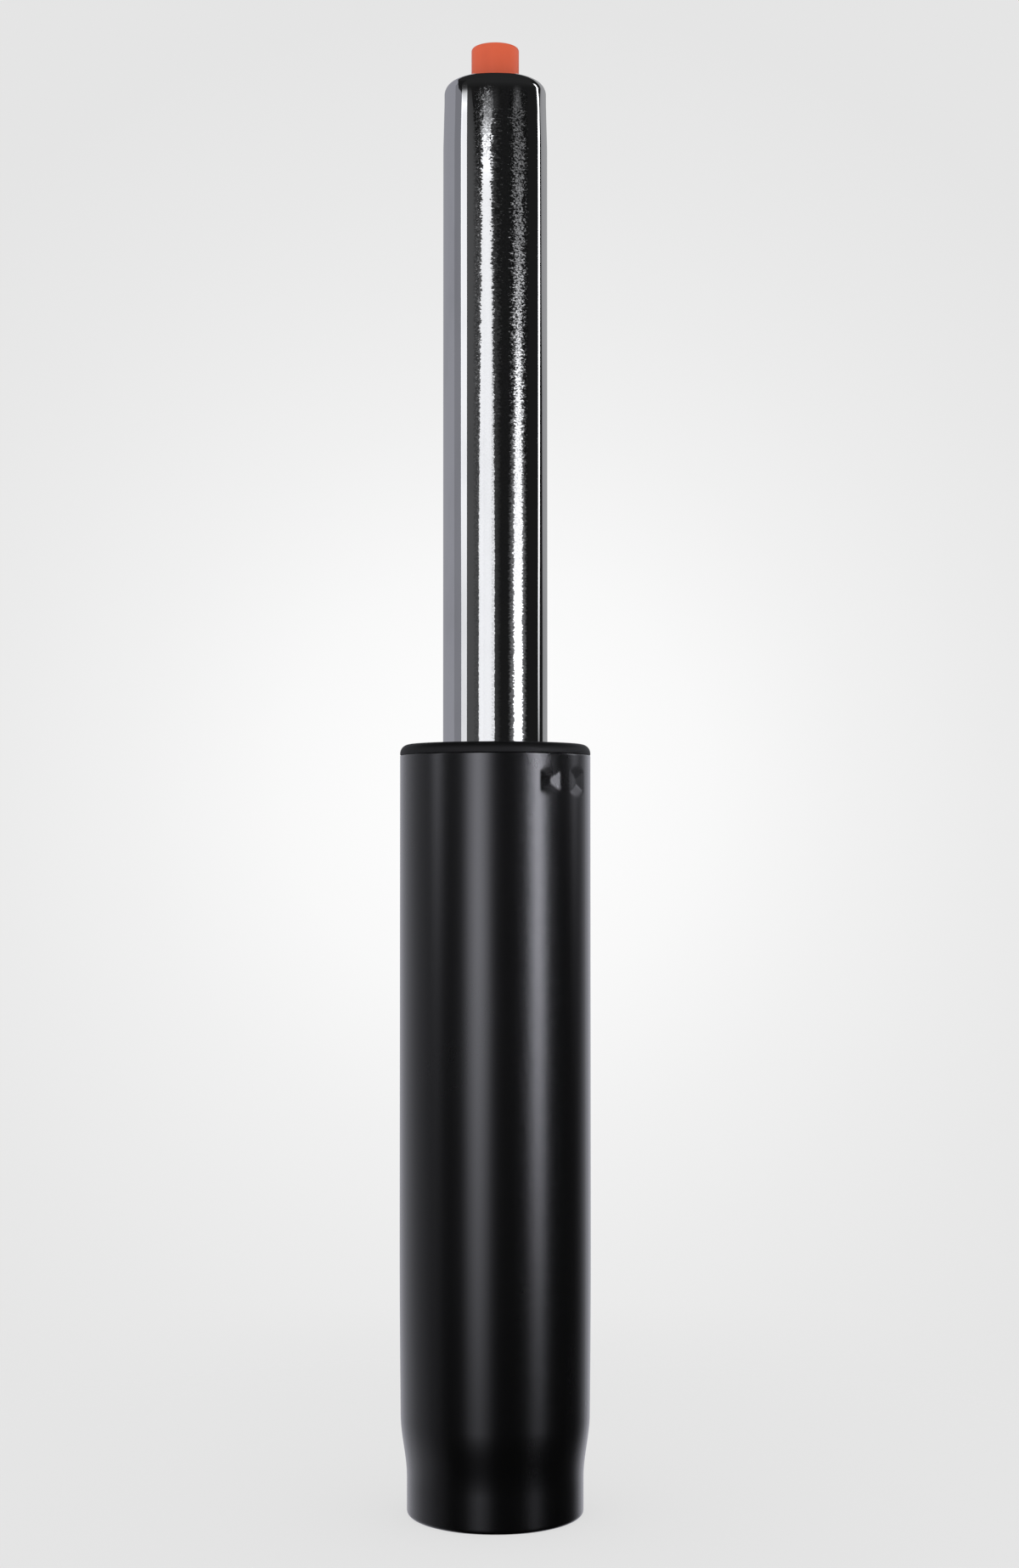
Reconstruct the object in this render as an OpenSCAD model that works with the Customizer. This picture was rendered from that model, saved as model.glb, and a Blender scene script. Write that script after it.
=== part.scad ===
// Chair gas lift cylinder, standing on its necked foot at full height.
// The origin is the centre of the foot's lower face, and +Z runs up the axis.
// All sizes are in millimetres.

/* [Stand tube] */
// Outside diameter of the stand tube
tube_d = 51; // [49:0.5:54]
// Wall of the stand tube
tube_wall = 2; // [1.5:0.1:2.4]
// Height of the stand tube, foot to rim
tube_h = 201.4; // [180:0.2:260]
// How far the rolled lip stands in from the foot's inner wall
lip_w = 3.5; // [2:0.5:5]
// Thickness of the rolled lip
lip_t = 1.8; // [1.2:0.1:2.4]

/* [Necked foot] */
// Outside diameter of the straight band at the foot
foot_d = 47; // [44:0.1:48]
// Height of the straight band, with its rounded edge
band_h = 9.4; // [7:0.1:12]
// Rounding of the foot's lower edge
foot_edge_r = 1; // [0.2:0.1:1.2]
// Height of the curve from the band up to the tube
neck_h = 17.2; // [14:0.2:30]
// How much thinner the tube still is where the curve ends
swell_drop_d = 0.6; // [0.2:0.1:0.8]
// Height over which the tube grows from there to its full size
swell_h = 47; // [20:1:60]

/* [Staking dimples] */
// Width of a dimple at the surface
dimple_w = 6.5; // [5:0.1:9]
// Height of a dimple at the surface
dimple_h = 7.5; // [5:0.1:9]
// Depth of a dimple
dimple_depth = 0.6; // [0.6:0.1:1.3]
// Distance from the tube's rim down to a dimple's middle
dimple_drop = 7.3; // [6:0.1:9]
// Direction of the middle of a pair, from +X
dimple_turn = -43.5; // [-90:0.5:0]
// Angle between the two dimples of a pair
dimple_pitch = 23; // [20:1:40]

/* [Bottom plate] */
// Thickness of the bottom plate
plate_t = 3; // [2:0.1:4]
// How far the plate's middle is pressed up
dish_h = 2.6; // [2.4:0.1:4]
// Diameter of the raised middle, on top
dish_d = 30; // [26:1:32]

/* [Guide sleeve] */
// Diameter of the sleeve's flange on the rim
flange_d = 51; // [51:0.1:54]
// Height of the flange
flange_h = 2.9; // [2.6:0.1:4]
// Rounding of the flange's upper edge
flange_edge_r = 2.4; // [0.5:0.1:2.4]
// Length of the sleeve inside the tube
sleeve_l = 87; // [50:1:100]
// Wall of the sleeve's barrel
barrel_wall = 2.6; // [2:0.1:4]
// Height of the solid plug that the dimples hold
plug_h = 13; // [12.5:0.5:20]
// Height of the rings that centre the barrel
ring_h = 5; // [3:0.5:8]
// Number of long ribs
rib_count = 8; // [4:1:16]
// Thickness of a rib
rib_t = 2; // [1.2:0.1:3]

/* [Travel] */
// How far the cylinder sinks from its full height
travel = 80; // [50:1:110]
// How far the release button can be pressed
press = 4; // [2:0.1:4]

/* [Gas cylinder] */
// Outside diameter of the chromed cylinder
cyl_d = 28; // [27:0.1:29]
// Wall of the chromed cylinder
cyl_wall = 1.5; // [1.2:0.1:1.8]
// Height of the cylinder above the flange when it is fully up
exposed_h = 178.5; // [120:0.1:260]
// Thickness of the closed top
top_t = 1.8; // [1.2:0.1:2.5]
// Outside rounding of the closed top
shoulder_r = 3.2; // [2.5:0.1:4.5]
// Inside rounding of the closed top
inner_shoulder_r = 1.8; // [1:0.1:2.2]
// Thickness of the lip rolled in at the cylinder's lower end
cyl_lip_t = 1.5; // [1:0.1:2]
// How far that lip stands in
cyl_lip_w = 3; // [1:0.5:4]

/* [Seat cone] */
// Length of the cone that seats in the chair's mechanism
cone_h = 12; // [6:0.5:40]
// Length of cone for each millimetre of diameter
cone_ratio = 20; // [16:1:40]
// Height of the straight land above the cone
land_h = 2.6; // [1.5:0.1:6]

/* [Piston rod] */
// Diameter of the rod
rod_d = 10; // [9:0.1:11]
// Diameter of the journal that passes through the bearing
journal_d = 8; // [7:0.1:8.6]
// Diameter of the stud that holds the piston
stud_d = 7; // [6:0.1:8]
// Height of the rod's lower end above the floor
rod_end_z = 0.8; // [0.4:0.1:1.2]
// Chamfer on the rod's ends
rod_chamfer = 0.5; // [0.2:0.1:0.8]

/* [Retaining clip] */
// Outside diameter of the clip
clip_d = 15; // [12:0.5:20]
// Thickness of the clip
clip_t = 1; // [0.8:0.1:1.2]
// Width of the clip's open mouth
clip_mouth = 6.6; // [6:0.1:8]
// Width of the clip's ring
clip_band = 2.2; // [1.5:0.1:2.6]
// Depth of the rod's clip groove
groove_depth = 0.8; // [0.5:0.1:1.2]
// Outside diameter of the washer over the clip
clip_washer_d = 17; // [13:0.5:22]
// Thickness of that washer
clip_washer_t = 1; // [0.6:0.1:1]

/* [Thrust bearing] */
// Outside diameter of the bearing's washers
race_d = 24; // [22:0.5:28]
// Thickness of a grooved race
race_t = 2; // [1.6:0.1:3]
// Diameter of a ball
ball_d = 3.2; // [2.6:0.1:3.4]
// Number of balls
ball_count = 12; // [8:1:13]
// Diameter of the circle that the balls run on
ball_circle_d = 17; // [16.5:0.5:18]
// Depth of the balls' track in a race
track_depth = 0.5; // [0.2:0.1:0.6]
// Thickness of the cage
cage_t = 1.6; // [1:0.1:1.8]
// Width of the cage, inside to outside
cage_w = 5; // [4.4:0.1:5.4]
// Thickness of the flat thrust washer
thrust_washer_t = 1.2; // [0.8:0.1:2]

/* [Rubber bumper] */
// Diameter of the bumper
bumper_d = 22; // [18:0.5:26]
// Height of the bumper
bumper_h = 18; // [10:0.5:24]
// Depth of the groove round the bumper's waist
waist_depth = 1.5; // [0.5:0.1:2.5]
// Height of that groove
waist_h = 5; // [3:0.5:8]

/* [Rod guide and seal] */
// Height of the rod guide
guide_h = 10; // [6:0.5:14]
// Height of the rod seal
seal_h = 6; // [4:0.5:8]
// Depth of the groove behind the seal's lip
seal_groove = 3.5; // [2:0.1:3.8]
// Thickness of the washer over the seal
seal_washer_t = 1.5; // [1:0.1:2]
// Height of the ring that centres the inner tube
spacer_h = 8; // [6:0.5:12]
// Thickness of that ring's floor
spacer_floor_t = 2; // [1.4:0.1:3]
// Number of gas ports in that ring
spacer_ports = 4; // [2:1:6]
// Width of a gas port
port_w = 3; // [2:0.1:5]

/* [Piston] */
// Bore of the inner tube
bore_d = 20.4; // [19:0.1:21]
// Wall of the inner tube
inner_wall = 1; // [0.8:0.1:1.1]
// Height of the piston
piston_h = 10; // [8:0.5:14]
// Height of the piston ring
piston_ring_h = 3; // [2:0.1:4]
// Depth of the piston ring's groove
ring_depth = 1.6; // [1:0.1:2.4]
// Diameter of the washer under the nut
piston_washer_d = 14; // [12:0.5:18]
// Thickness of that washer
piston_washer_t = 1.2; // [0.8:0.1:2]
// Nut, across its flats
nut_af = 12; // [11:0.5:14]
// Height of the nut
nut_h = 5; // [3.5:0.1:7]
// How far the stud stands out of the nut
stud_end = 1.8; // [0.8:0.1:4]

/* [Valve] */
// Height of the valve body in the chromed cylinder
valve_h = 27; // [25.5:0.1:34]
// Length of the valve body's spigot in the inner tube
spigot_h = 6; // [5:0.5:10]
// Diameter of the valve pin
pin_d = 4.8; // [4:0.1:5.2]
// Diameter of the pin where gas can pass it
pin_neck_d = 3.2; // [2:0.1:3.6]
// Diameter of the head that keeps the pin in
pin_head_d = 7.2; // [6.4:0.1:7.6]
// Height of that head
pin_head_h = 2.8; // [2:0.1:4]
// Diameter of the chamber round the pin
chamber_d = 9.2; // [8.4:0.1:10]
// Height of the sleeve between the pin's seals
seal_spacer_h = 5; // [4.6:0.1:6]
// Thickness of the disc below the lower seal
disc_t = 2; // [1.2:0.1:3]
// Diameter of the gas ports in the valve
gas_port_d = 1.4; // [0.8:0.1:2]
// Depth of the gas way outside the valve body
gas_way = 0.8; // [0.4:0.1:1]
// Depth of the grooves for the body seals
body_groove = 2; // [1.4:0.1:2.4]
// Distance between the middles of the body seals
body_seal_pitch = 5; // [4:0.1:5.4]
// Depth of the groove for the spigot seal
spigot_groove = 1.5; // [1:0.1:2]

/* [Release button] */
// Diameter of the button
button_d = 12.8; // [11:0.1:14]
// Height of the button above the cylinder
button_h = 9.6; // [6:0.1:12]
// Rounding of the button's upper edge
button_edge_r = 0.8; // [0.3:0.1:2]
// How deep the button reaches into the cylinder
button_sunk = 6; // [4:0.1:6]
// Wall of the valve body between the button's recess and the pin's chamber
recess_floor_t = 2; // [1.4:0.1:2.4]
// How far the pin reaches up into the button
pin_in_button = 9; // [5:0.1:11]

/* [Fits] */
// Radial running clearance of parts that turn or slide
run = 0.08; // [0.03:0.01:0.1]
// Radial clearance of parts that are pressed or pushed in
snug = 0.1; // [0.05:0.01:0.15]
// Gap that is left at the ends of a travel and beside a loose part
stop_gap = 0.3; // [0.2:0.05:0.5]
// Gap round the button where it enters the cylinder
button_gap = 0.5; // [0.3:0.1:0.8]

/* [Hidden] */

// Round faces, and the steps of a curve drawn as points
$fn = 96;
CURVE_STEPS = 16;
EDGE_STEPS = 6;
// How far a cutter runs past the face that it cuts
CUT = 1;
// How far a rib or a boss is sunk into the wall that carries it
SINK = 0.5;

// Radii of the stand
tube_r = tube_d / 2;
tube_in_r = tube_r - tube_wall;
foot_r = foot_d / 2;
foot_in_r = foot_r - tube_wall;
swell_r = tube_r - swell_drop_d / 2;
neck_top = band_h + neck_h;
rim_top = tube_h + flange_h;

// Dimple: the floor's share of its outer size, and the share of the bump that it makes inside
floor_share = 0.25;
bump_share = 0.8;
bump_w = dimple_w * bump_share;
bump_h = dimple_h * bump_share;
// Distance of the tube's surface from the axis plane at a dimple's side
dimple_edge_x = sqrt(tube_r * tube_r - dimple_w * dimple_w / 4);

// Bottom plate: its flange lies on the lip, its middle stands higher
plate_under = lip_t + dish_h;
plate_top = plate_under + plate_t;
dish_lean = 0.75;
dish_slope = dish_h * dish_lean;
journal_r = journal_d / 2;

// Bearing, from the plate up
lower_race_top = plate_top + race_t;
race_space = ball_d + 2 * run - 2 * track_depth;
ball_z = lower_race_top + race_space / 2;
upper_race_z = lower_race_top + race_space;
thrust_washer_z = upper_race_z + race_t;
bumper_z = thrust_washer_z + thrust_washer_t;
bumper_top = bumper_z + bumper_h;
race_r = race_d / 2;
rod_r = rod_d / 2;

// Clip, from the plate down
clip_washer_z = plate_under - stop_gap / 2 - clip_washer_t;
groove_play = 0.1;
clip_z = clip_washer_z - groove_play - clip_t;
groove_r = journal_r - groove_depth;

// Cylinder, from its lower end up
cyl_r = cyl_d / 2;
cyl_in_r = cyl_r - cyl_wall;
cyl_bottom = bumper_top + travel + stop_gap;
cyl_top = rim_top + exposed_h;
guide_z = cyl_bottom + cyl_lip_t;
seal_z = guide_z + guide_h;
seal_washer_z = seal_z + seal_h;
spacer_z = seal_washer_z + seal_washer_t;
inner_tube_z = spacer_z + spacer_floor_t;
fill_r = cyl_in_r - snug;
bore_r = bore_d / 2;
inner_r = bore_r + inner_wall;

// Piston, at the end of its way out
piston_z = inner_tube_z + stop_gap;
piston_r = bore_r - run;
piston_washer_z = piston_z + piston_h;
nut_z = piston_washer_z + piston_washer_t;
rod_top = nut_z + nut_h + stud_end;
stud_r = stud_d / 2;

// Seat cone and closed top
nose_r = cyl_r - cone_h / cone_ratio / 2;
land_z = cyl_top - shoulder_r - land_h;
cone_z = land_z - cone_h;
cavity_top = cyl_top - top_t;

// Valve, from the closed top down
button_r = button_d / 2;
button_hole_r = button_r + button_gap;
button_z = cyl_top - button_sunk;
recess_z = button_z - press - stop_gap;
valve_z = cavity_top - valve_h;
spigot_z = valve_z - spigot_h;
spigot_r = bore_r - snug;
pin_r = pin_d / 2;
chamber_r = chamber_d / 2;
pin_seal_r = (chamber_r - snug - pin_r - run) / 2;
pin_seal_h = 2 * pin_seal_r + groove_play;
chamber_top = recess_z - recess_floor_t;
upper_seal_z = chamber_top - pin_seal_h;
seal_spacer_z = upper_seal_z - seal_spacer_h;
lower_seal_z = seal_spacer_z - pin_seal_h;
disc_z = lower_seal_z - disc_t;
gas_port_z = seal_spacer_z + seal_spacer_h / 2;
pin_head_z = disc_z - groove_play * 2 - pin_head_h;
pin_top = cyl_top - button_sunk + pin_in_button;
pin_neck_h = press;
pin_neck_z = gas_port_z - pin_neck_h / 2;
body_seal_r = (body_groove - snug) / 2;
body_seal_z = chamber_top - body_seal_r;
groove_side = 0.25;
spigot_seal_r = (spigot_groove - snug) / 2 + snug / 4;

// Points of an arc about (r, z)
function arc(r, z, radius, from, to, steps) =
    [for (i = [0:steps]) let (a = from + (to - from) * i / steps) [r + radius * cos(a), z + radius * sin(a)]];

// Points of the smooth neck, set in by the given wall
function neck(inset) =
    [for (i = [0:CURVE_STEPS]) let (t = i / CURVE_STEPS)
        [foot_r - inset + (swell_r - foot_r) * (1 - cos(180 * t)) / 2, band_h + neck_h * t]];

// The points of a list in reverse order
function reversed(points) = [for (i = [len(points) - 1:-1:0]) points[i]];

// A plain ring
module ring(inner, outer, z, h) {
    translate([0, 0, z]) difference() {
        cylinder(r = outer, h = h);
        translate([0, 0, -CUT]) cylinder(r = inner, h = h + 2 * CUT);
    }
}

// A ring of round section
module o_ring(middle, section, z) {
    translate([0, 0, z]) rotate_extrude() translate([middle, 0]) circle(r = section);
}

// A round groove cut from outside, from the radius inner outwards
module groove(inner, outer, z, h) {
    ring(inner, outer + CUT, z, h);
}

// Puts its child at each dimple, on both sides of the tube
module at_dimples() {
    for (side = [0, 180], step = [-0.5, 0.5])
        rotate(side + dimple_turn + step * dimple_pitch)
            translate([0, 0, tube_h - dimple_drop]) children();
}

// Trapezoid from x = inner to x = outer, with the given full widths at its ends
module trapezoid(inner, outer, inner_w, outer_w) {
    polygon([[inner, -inner_w / 2], [outer, -outer_w / 2], [outer, outer_w / 2], [inner, inner_w / 2]]);
}

// A pyramid's stump along X: each size is [inner end, outer end]
module stump(inner, outer, widths, heights) {
    intersection() {
        linear_extrude(heights[1], center = true) trapezoid(inner, outer, widths[0], widths[1]);
        rotate([90, 0, 0]) linear_extrude(widths[1], center = true)
            trapezoid(inner, outer, heights[0], heights[1]);
    }
}

// The size that a stump growing from a to b over the distance from has at the distance to
function grown(a, b, from, to) = a + (b - a) * to / from;

// Stand tube: necked foot, rolled lip, plain bore above, and the dimples
module outer_tube() {
    lip_in_r = foot_in_r - lip_w;
    pit_x = tube_r - dimple_depth;
    pit_reach = 2 * dimple_depth;
    floor_w = dimple_w * floor_share;
    floor_h = dimple_h * floor_share;
    color([0.07, 0.07, 0.08]) difference() {
        union() {
            rotate_extrude() polygon(concat(
                [[lip_in_r, 0]],
                arc(foot_r - foot_edge_r, foot_edge_r, foot_edge_r, -90, 0, EDGE_STEPS),
                neck(0),
                [[tube_r, neck_top + swell_h], [tube_r, tube_h], [tube_in_r, tube_h]],
                [[tube_in_r, neck_top + swell_h]],
                reversed(neck(tube_wall)),
                [[foot_in_r, lip_t], [lip_in_r, lip_t]]));
            at_dimples() stump(tube_in_r - dimple_depth, tube_in_r + SINK, [floor_w, bump_w],
                [floor_h, bump_h]);
        }
        at_dimples() stump(pit_x, pit_x + pit_reach,
            [floor_w, grown(floor_w, dimple_w, dimple_edge_x - pit_x, pit_reach)],
            [floor_h, grown(floor_h, dimple_h, dimple_depth, pit_reach)]);
    }
}

// Guide sleeve: flange on the rim, ribbed barrel with its centring rings
module guide_sleeve() {
    barrel_r = cyl_r + run + barrel_wall;
    ring_r = tube_in_r - snug;
    sleeve_z = tube_h - sleeve_l;
    flange_r = flange_d / 2;
    plug_z = tube_h - plug_h;
    rib_set_back = 0.6;
    rib_in_r = barrel_r - SINK;
    color([0.03, 0.03, 0.03]) difference() {
        union() {
            rotate_extrude() polygon(concat(
                [[cyl_r, plug_z], [ring_r, plug_z], [ring_r, tube_h], [flange_r, tube_h]],
                arc(flange_r - flange_edge_r, rim_top - flange_edge_r, flange_edge_r, 0, 90, EDGE_STEPS),
                [[cyl_r, rim_top]]));
            translate([0, 0, sleeve_z]) cylinder(r = barrel_r, h = sleeve_l - SINK);
            translate([0, 0, sleeve_z]) cylinder(r = ring_r, h = ring_h);
            translate([0, 0, tube_h - (sleeve_l + plug_h) / 2]) cylinder(r = ring_r, h = ring_h);
            for (i = [0:rib_count - 1])
                rotate(i * 360 / rib_count) translate([rib_in_r, -rib_t / 2, sleeve_z + SINK])
                    cube([ring_r - rib_set_back - rib_in_r, rib_t, sleeve_l - 2 * SINK]);
        }
        translate([0, 0, sleeve_z - CUT]) cylinder(r = cyl_r + run, h = sleeve_l + flange_h + 2 * CUT);
        at_dimples() translate([tube_in_r - dimple_depth - stop_gap, -bump_w / 2 - stop_gap,
            -bump_h / 2 - stop_gap])
            cube([dimple_depth + stop_gap + CUT, bump_w + 2 * stop_gap, bump_h + 2 * stop_gap]);
    }
}

// Bottom plate: a pressing with a raised middle and the journal's hole
module bottom_plate() {
    edge_r = foot_in_r - snug;
    dish_r = dish_d / 2;
    color([0.42, 0.42, 0.43]) rotate_extrude() polygon([
        [journal_r + run, plate_under],
        [dish_r - dish_slope / 2, plate_under],
        [dish_r + dish_slope / 2, lip_t],
        [edge_r, lip_t],
        [edge_r, lip_t + plate_t],
        [dish_r + dish_slope, lip_t + plate_t],
        [dish_r, plate_top],
        [journal_r + run, plate_top]]);
}

// A grooved race with its track on top, its lower face at z = 0
module race(hole_r) {
    track_r = ball_d / 2 + run;
    color([0.66, 0.66, 0.68]) difference() {
        ring(hole_r, race_r, 0, race_t);
        o_ring(ball_circle_d / 2, track_r, race_t - track_depth + track_r);
    }
}

module lower_race() {
    translate([0, 0, plate_top]) race(journal_r + stop_gap);
}

module upper_race() {
    translate([0, 0, thrust_washer_z]) mirror([0, 0, 1]) race(journal_r + snug);
}

// Cage: a flat ring with a pocket for each ball
module bearing_cage() {
    middle = ball_circle_d / 2;
    color([0.82, 0.8, 0.72]) difference() {
        ring(middle - cage_w / 2, middle + cage_w / 2, ball_z - cage_t / 2, cage_t);
        for (i = [0:ball_count - 1])
            rotate(i * 360 / ball_count) translate([middle, 0, ball_z - cage_t])
                cylinder(r = ball_d / 2 + snug, h = 2 * cage_t, $fn = 48);
    }
}

module bearing_balls() {
    color([0.8, 0.8, 0.82])
        for (i = [0:ball_count - 1])
            rotate(i * 360 / ball_count) translate([ball_circle_d / 2, 0, ball_z])
                sphere(d = ball_d, $fn = 48);
}

module thrust_washer() {
    color([0.62, 0.62, 0.64]) ring(journal_r + snug, race_r, thrust_washer_z, thrust_washer_t);
}

// Rod: journal with the clip groove, ground shank, and the piston's stud
module piston_rod() {
    color([0.75, 0.75, 0.77]) rotate_extrude() polygon([
        [0, rod_end_z],
        [journal_r - rod_chamfer, rod_end_z],
        [journal_r, rod_end_z + rod_chamfer],
        [journal_r, clip_z - groove_play],
        [groove_r, clip_z - groove_play],
        [groove_r, clip_z + clip_t + groove_play],
        [journal_r, clip_z + clip_t + groove_play],
        [journal_r, bumper_z],
        [rod_r, bumper_z],
        [rod_r, piston_z],
        [stud_r, piston_z],
        [stud_r, rod_top - rod_chamfer],
        [stud_r - rod_chamfer, rod_top],
        [0, rod_top]]);
}

// Bumper: a rubber ring with a waist, which lets it give
module rubber_bumper() {
    bumper_r = bumper_d / 2;
    color([0.05, 0.05, 0.05]) difference() {
        ring(rod_r + 2 * snug, bumper_r, bumper_z, bumper_h);
        groove(bumper_r - waist_depth, bumper_r, bumper_z + (bumper_h - waist_h) / 2, waist_h);
    }
}

module clip_washer() {
    color([0.62, 0.62, 0.64]) ring(journal_r + snug, clip_washer_d / 2, clip_washer_z, clip_washer_t);
}

// Clip: an open ring whose three prongs stand in the rod's groove
module retaining_clip() {
    clip_r = clip_d / 2;
    prong_w = 2.4;
    prong_angles = [-90, 40, 140];
    color([0.3, 0.3, 0.31]) translate([0, 0, clip_z]) linear_extrude(clip_t) difference() {
        union() {
            difference() {
                circle(r = clip_r);
                circle(r = clip_r - clip_band);
            }
            for (a = prong_angles)
                rotate(a) translate([0, -prong_w / 2]) square([clip_r - clip_band / 2, prong_w]);
        }
        circle(r = groove_r + snug / 2);
        translate([-clip_mouth / 2, 0]) square([clip_mouth, clip_r + CUT]);
    }
}

module piston() {
    color([0.6, 0.61, 0.63]) difference() {
        ring(stud_r + snug, piston_r, piston_z, piston_h);
        groove(piston_r - ring_depth, piston_r,
            piston_z + (piston_h - piston_ring_h) / 2 - groove_play, piston_ring_h + 2 * groove_play);
    }
}

module piston_ring() {
    color([0.86, 0.84, 0.78]) ring(piston_r - ring_depth + snug / 2, bore_r - run / 2,
        piston_z + (piston_h - piston_ring_h) / 2, piston_ring_h);
}

module piston_washer() {
    color([0.62, 0.62, 0.64]) ring(stud_r + snug, piston_washer_d / 2, piston_washer_z, piston_washer_t);
}

module piston_nut() {
    color([0.55, 0.55, 0.57]) translate([0, 0, nut_z]) difference() {
        cylinder(r = nut_af / 2 / cos(30), h = nut_h, $fn = 6);
        translate([0, 0, -CUT]) cylinder(r = stud_r + snug / 2, h = nut_h + 2 * CUT);
    }
}

// Chromed tube: lip below, seat cone, land and closed shoulder above
module pressure_tube() {
    lower_edge_r = 1;
    lip_in_r = cyl_in_r - cyl_lip_w;
    color([0.85, 0.85, 0.87]) rotate_extrude() polygon(concat(
        [[lip_in_r, cyl_bottom]],
        arc(cyl_r - lower_edge_r, cyl_bottom + lower_edge_r, lower_edge_r, -90, 0, EDGE_STEPS),
        [[cyl_r, cone_z], [nose_r, land_z]],
        arc(nose_r - shoulder_r, cyl_top - shoulder_r, shoulder_r, 0, 90, CURVE_STEPS),
        [[button_hole_r, cyl_top], [button_hole_r, cavity_top]],
        arc(cyl_in_r - inner_shoulder_r, cavity_top - inner_shoulder_r, inner_shoulder_r, 90, 0, EDGE_STEPS),
        [[cyl_in_r, guide_z], [lip_in_r, guide_z]]));
}

module inner_tube() {
    color([0.78, 0.79, 0.8]) ring(bore_r, inner_r, inner_tube_z, valve_z - inner_tube_z);
}

// Spacer: a floor and a thin wall round the inner tube, both cut by the gas ports
module tube_spacer() {
    floor_reach = 1.2;
    floor_in_r = bore_r - floor_reach;
    port_sill = 0.8;
    color([0.85, 0.84, 0.8]) difference() {
        ring(floor_in_r, fill_r, spacer_z, spacer_h);
        translate([0, 0, inner_tube_z]) cylinder(r = inner_r + snug, h = spacer_h);
        for (i = [0:spacer_ports - 1])
            rotate(i * 360 / spacer_ports) translate([0, -port_w / 2, spacer_z + port_sill])
                cube([cyl_r, port_w, spacer_h]);
    }
}

module rod_guide() {
    color([0.5, 0.5, 0.52]) ring(rod_r + run, fill_r, guide_z, guide_h);
}

// Rod seal: solid below, with a groove on the gas side that frees its lip
module rod_seal() {
    lip_wall = 2;
    color([0.06, 0.06, 0.06]) difference() {
        ring(rod_r + run / 2, fill_r, seal_z, seal_h);
        ring(rod_r + lip_wall, fill_r - lip_wall, seal_z + seal_h - seal_groove, seal_groove + CUT);
    }
}

module seal_washer() {
    color([0.62, 0.62, 0.64]) ring(rod_r + stop_gap, fill_r, seal_washer_z, seal_washer_t);
}

// Valve body: button recess, pin chamber, seal grooves, gas way and spigot
module valve_body() {
    top_bevel = inner_shoulder_r + snug;
    groove_r = cyl_in_r - body_groove;
    color([0.74, 0.66, 0.44]) difference() {
        union() {
            rotate_extrude() polygon([
                [0, valve_z],
                [fill_r, valve_z],
                [fill_r, cavity_top - top_bevel],
                [fill_r - top_bevel, cavity_top],
                [0, cavity_top]]);
            translate([0, 0, spigot_z]) cylinder(r = spigot_r, h = spigot_h + SINK);
        }
        translate([0, 0, recess_z]) cylinder(r = button_hole_r, h = valve_h);
        translate([0, 0, chamber_top - CUT]) cylinder(r = pin_r + run, h = valve_h);
        translate([0, 0, spigot_z - CUT]) cylinder(r = chamber_r, h = chamber_top - spigot_z + CUT);
        translate([-fill_r - CUT, 0, gas_port_z]) rotate([0, 90, 0])
            cylinder(d = gas_port_d, h = 2 * fill_r + 2 * CUT, $fn = 32);
        groove(fill_r - gas_way, fill_r, valve_z - CUT, gas_port_z + gas_port_d / 2 - valve_z + CUT);
        for (i = [0, 1])
            groove(groove_r, fill_r, body_seal_z + i * body_seal_pitch - body_seal_r - groove_side,
                2 * body_seal_r + 2 * groove_side);
        groove(bore_r - spigot_groove, spigot_r, spigot_z + spigot_h / 2 - spigot_seal_r - groove_side,
            2 * spigot_seal_r + 2 * groove_side);
    }
}

module body_seals() {
    color([0.05, 0.05, 0.05])
        for (i = [0, 1])
            o_ring(cyl_in_r - body_groove / 2, body_seal_r, body_seal_z + i * body_seal_pitch);
}

module spigot_seal() {
    color([0.05, 0.05, 0.05])
        o_ring(bore_r - spigot_groove / 2, (spigot_groove - snug) / 2, spigot_z + spigot_h / 2);
}

module pin_seals() {
    color([0.05, 0.05, 0.05])
        for (z = [upper_seal_z, lower_seal_z])
            o_ring(pin_r + run + pin_seal_r, pin_seal_r, z + pin_seal_h / 2);
}

module seal_spacer() {
    color([0.8, 0.8, 0.82]) difference() {
        ring(pin_r + 2 * run, chamber_r - snug, seal_spacer_z, seal_spacer_h);
        translate([-chamber_r - CUT, 0, gas_port_z]) rotate([0, 90, 0])
            cylinder(d = gas_port_d, h = chamber_d + 2 * CUT, $fn = 32);
    }
}

module valve_disc() {
    color([0.62, 0.62, 0.64]) ring(pin_r + run, chamber_r - snug, disc_z, disc_t);
}

// Pin: head below the disc, neck between the seals, plain shank up into the button
module valve_pin() {
    head_r = pin_head_d / 2;
    neck_r = pin_neck_d / 2;
    color([0.75, 0.75, 0.77]) rotate_extrude() polygon([
        [0, pin_head_z],
        [head_r - rod_chamfer, pin_head_z],
        [head_r, pin_head_z + rod_chamfer],
        [head_r, pin_head_z + pin_head_h],
        [pin_r, pin_head_z + pin_head_h],
        [pin_r, pin_neck_z],
        [neck_r, pin_neck_z],
        [neck_r, pin_neck_z + pin_neck_h],
        [pin_r, pin_neck_z + pin_neck_h],
        [pin_r, pin_top],
        [0, pin_top]]);
}

// Button: a plain cap with a rounded edge, pushed on the pin
module release_button() {
    button_top = cyl_top + button_h;
    color([0.83, 0.37, 0.24]) difference() {
        rotate_extrude() polygon(concat(
            [[0, button_z], [button_r, button_z]],
            arc(button_r - button_edge_r, button_top - button_edge_r, button_edge_r, 0, 90, EDGE_STEPS),
            [[0, button_top]]));
        translate([0, 0, button_z - CUT]) cylinder(r = pin_r + snug / 2, h = pin_in_button + CUT);
    }
}

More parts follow.
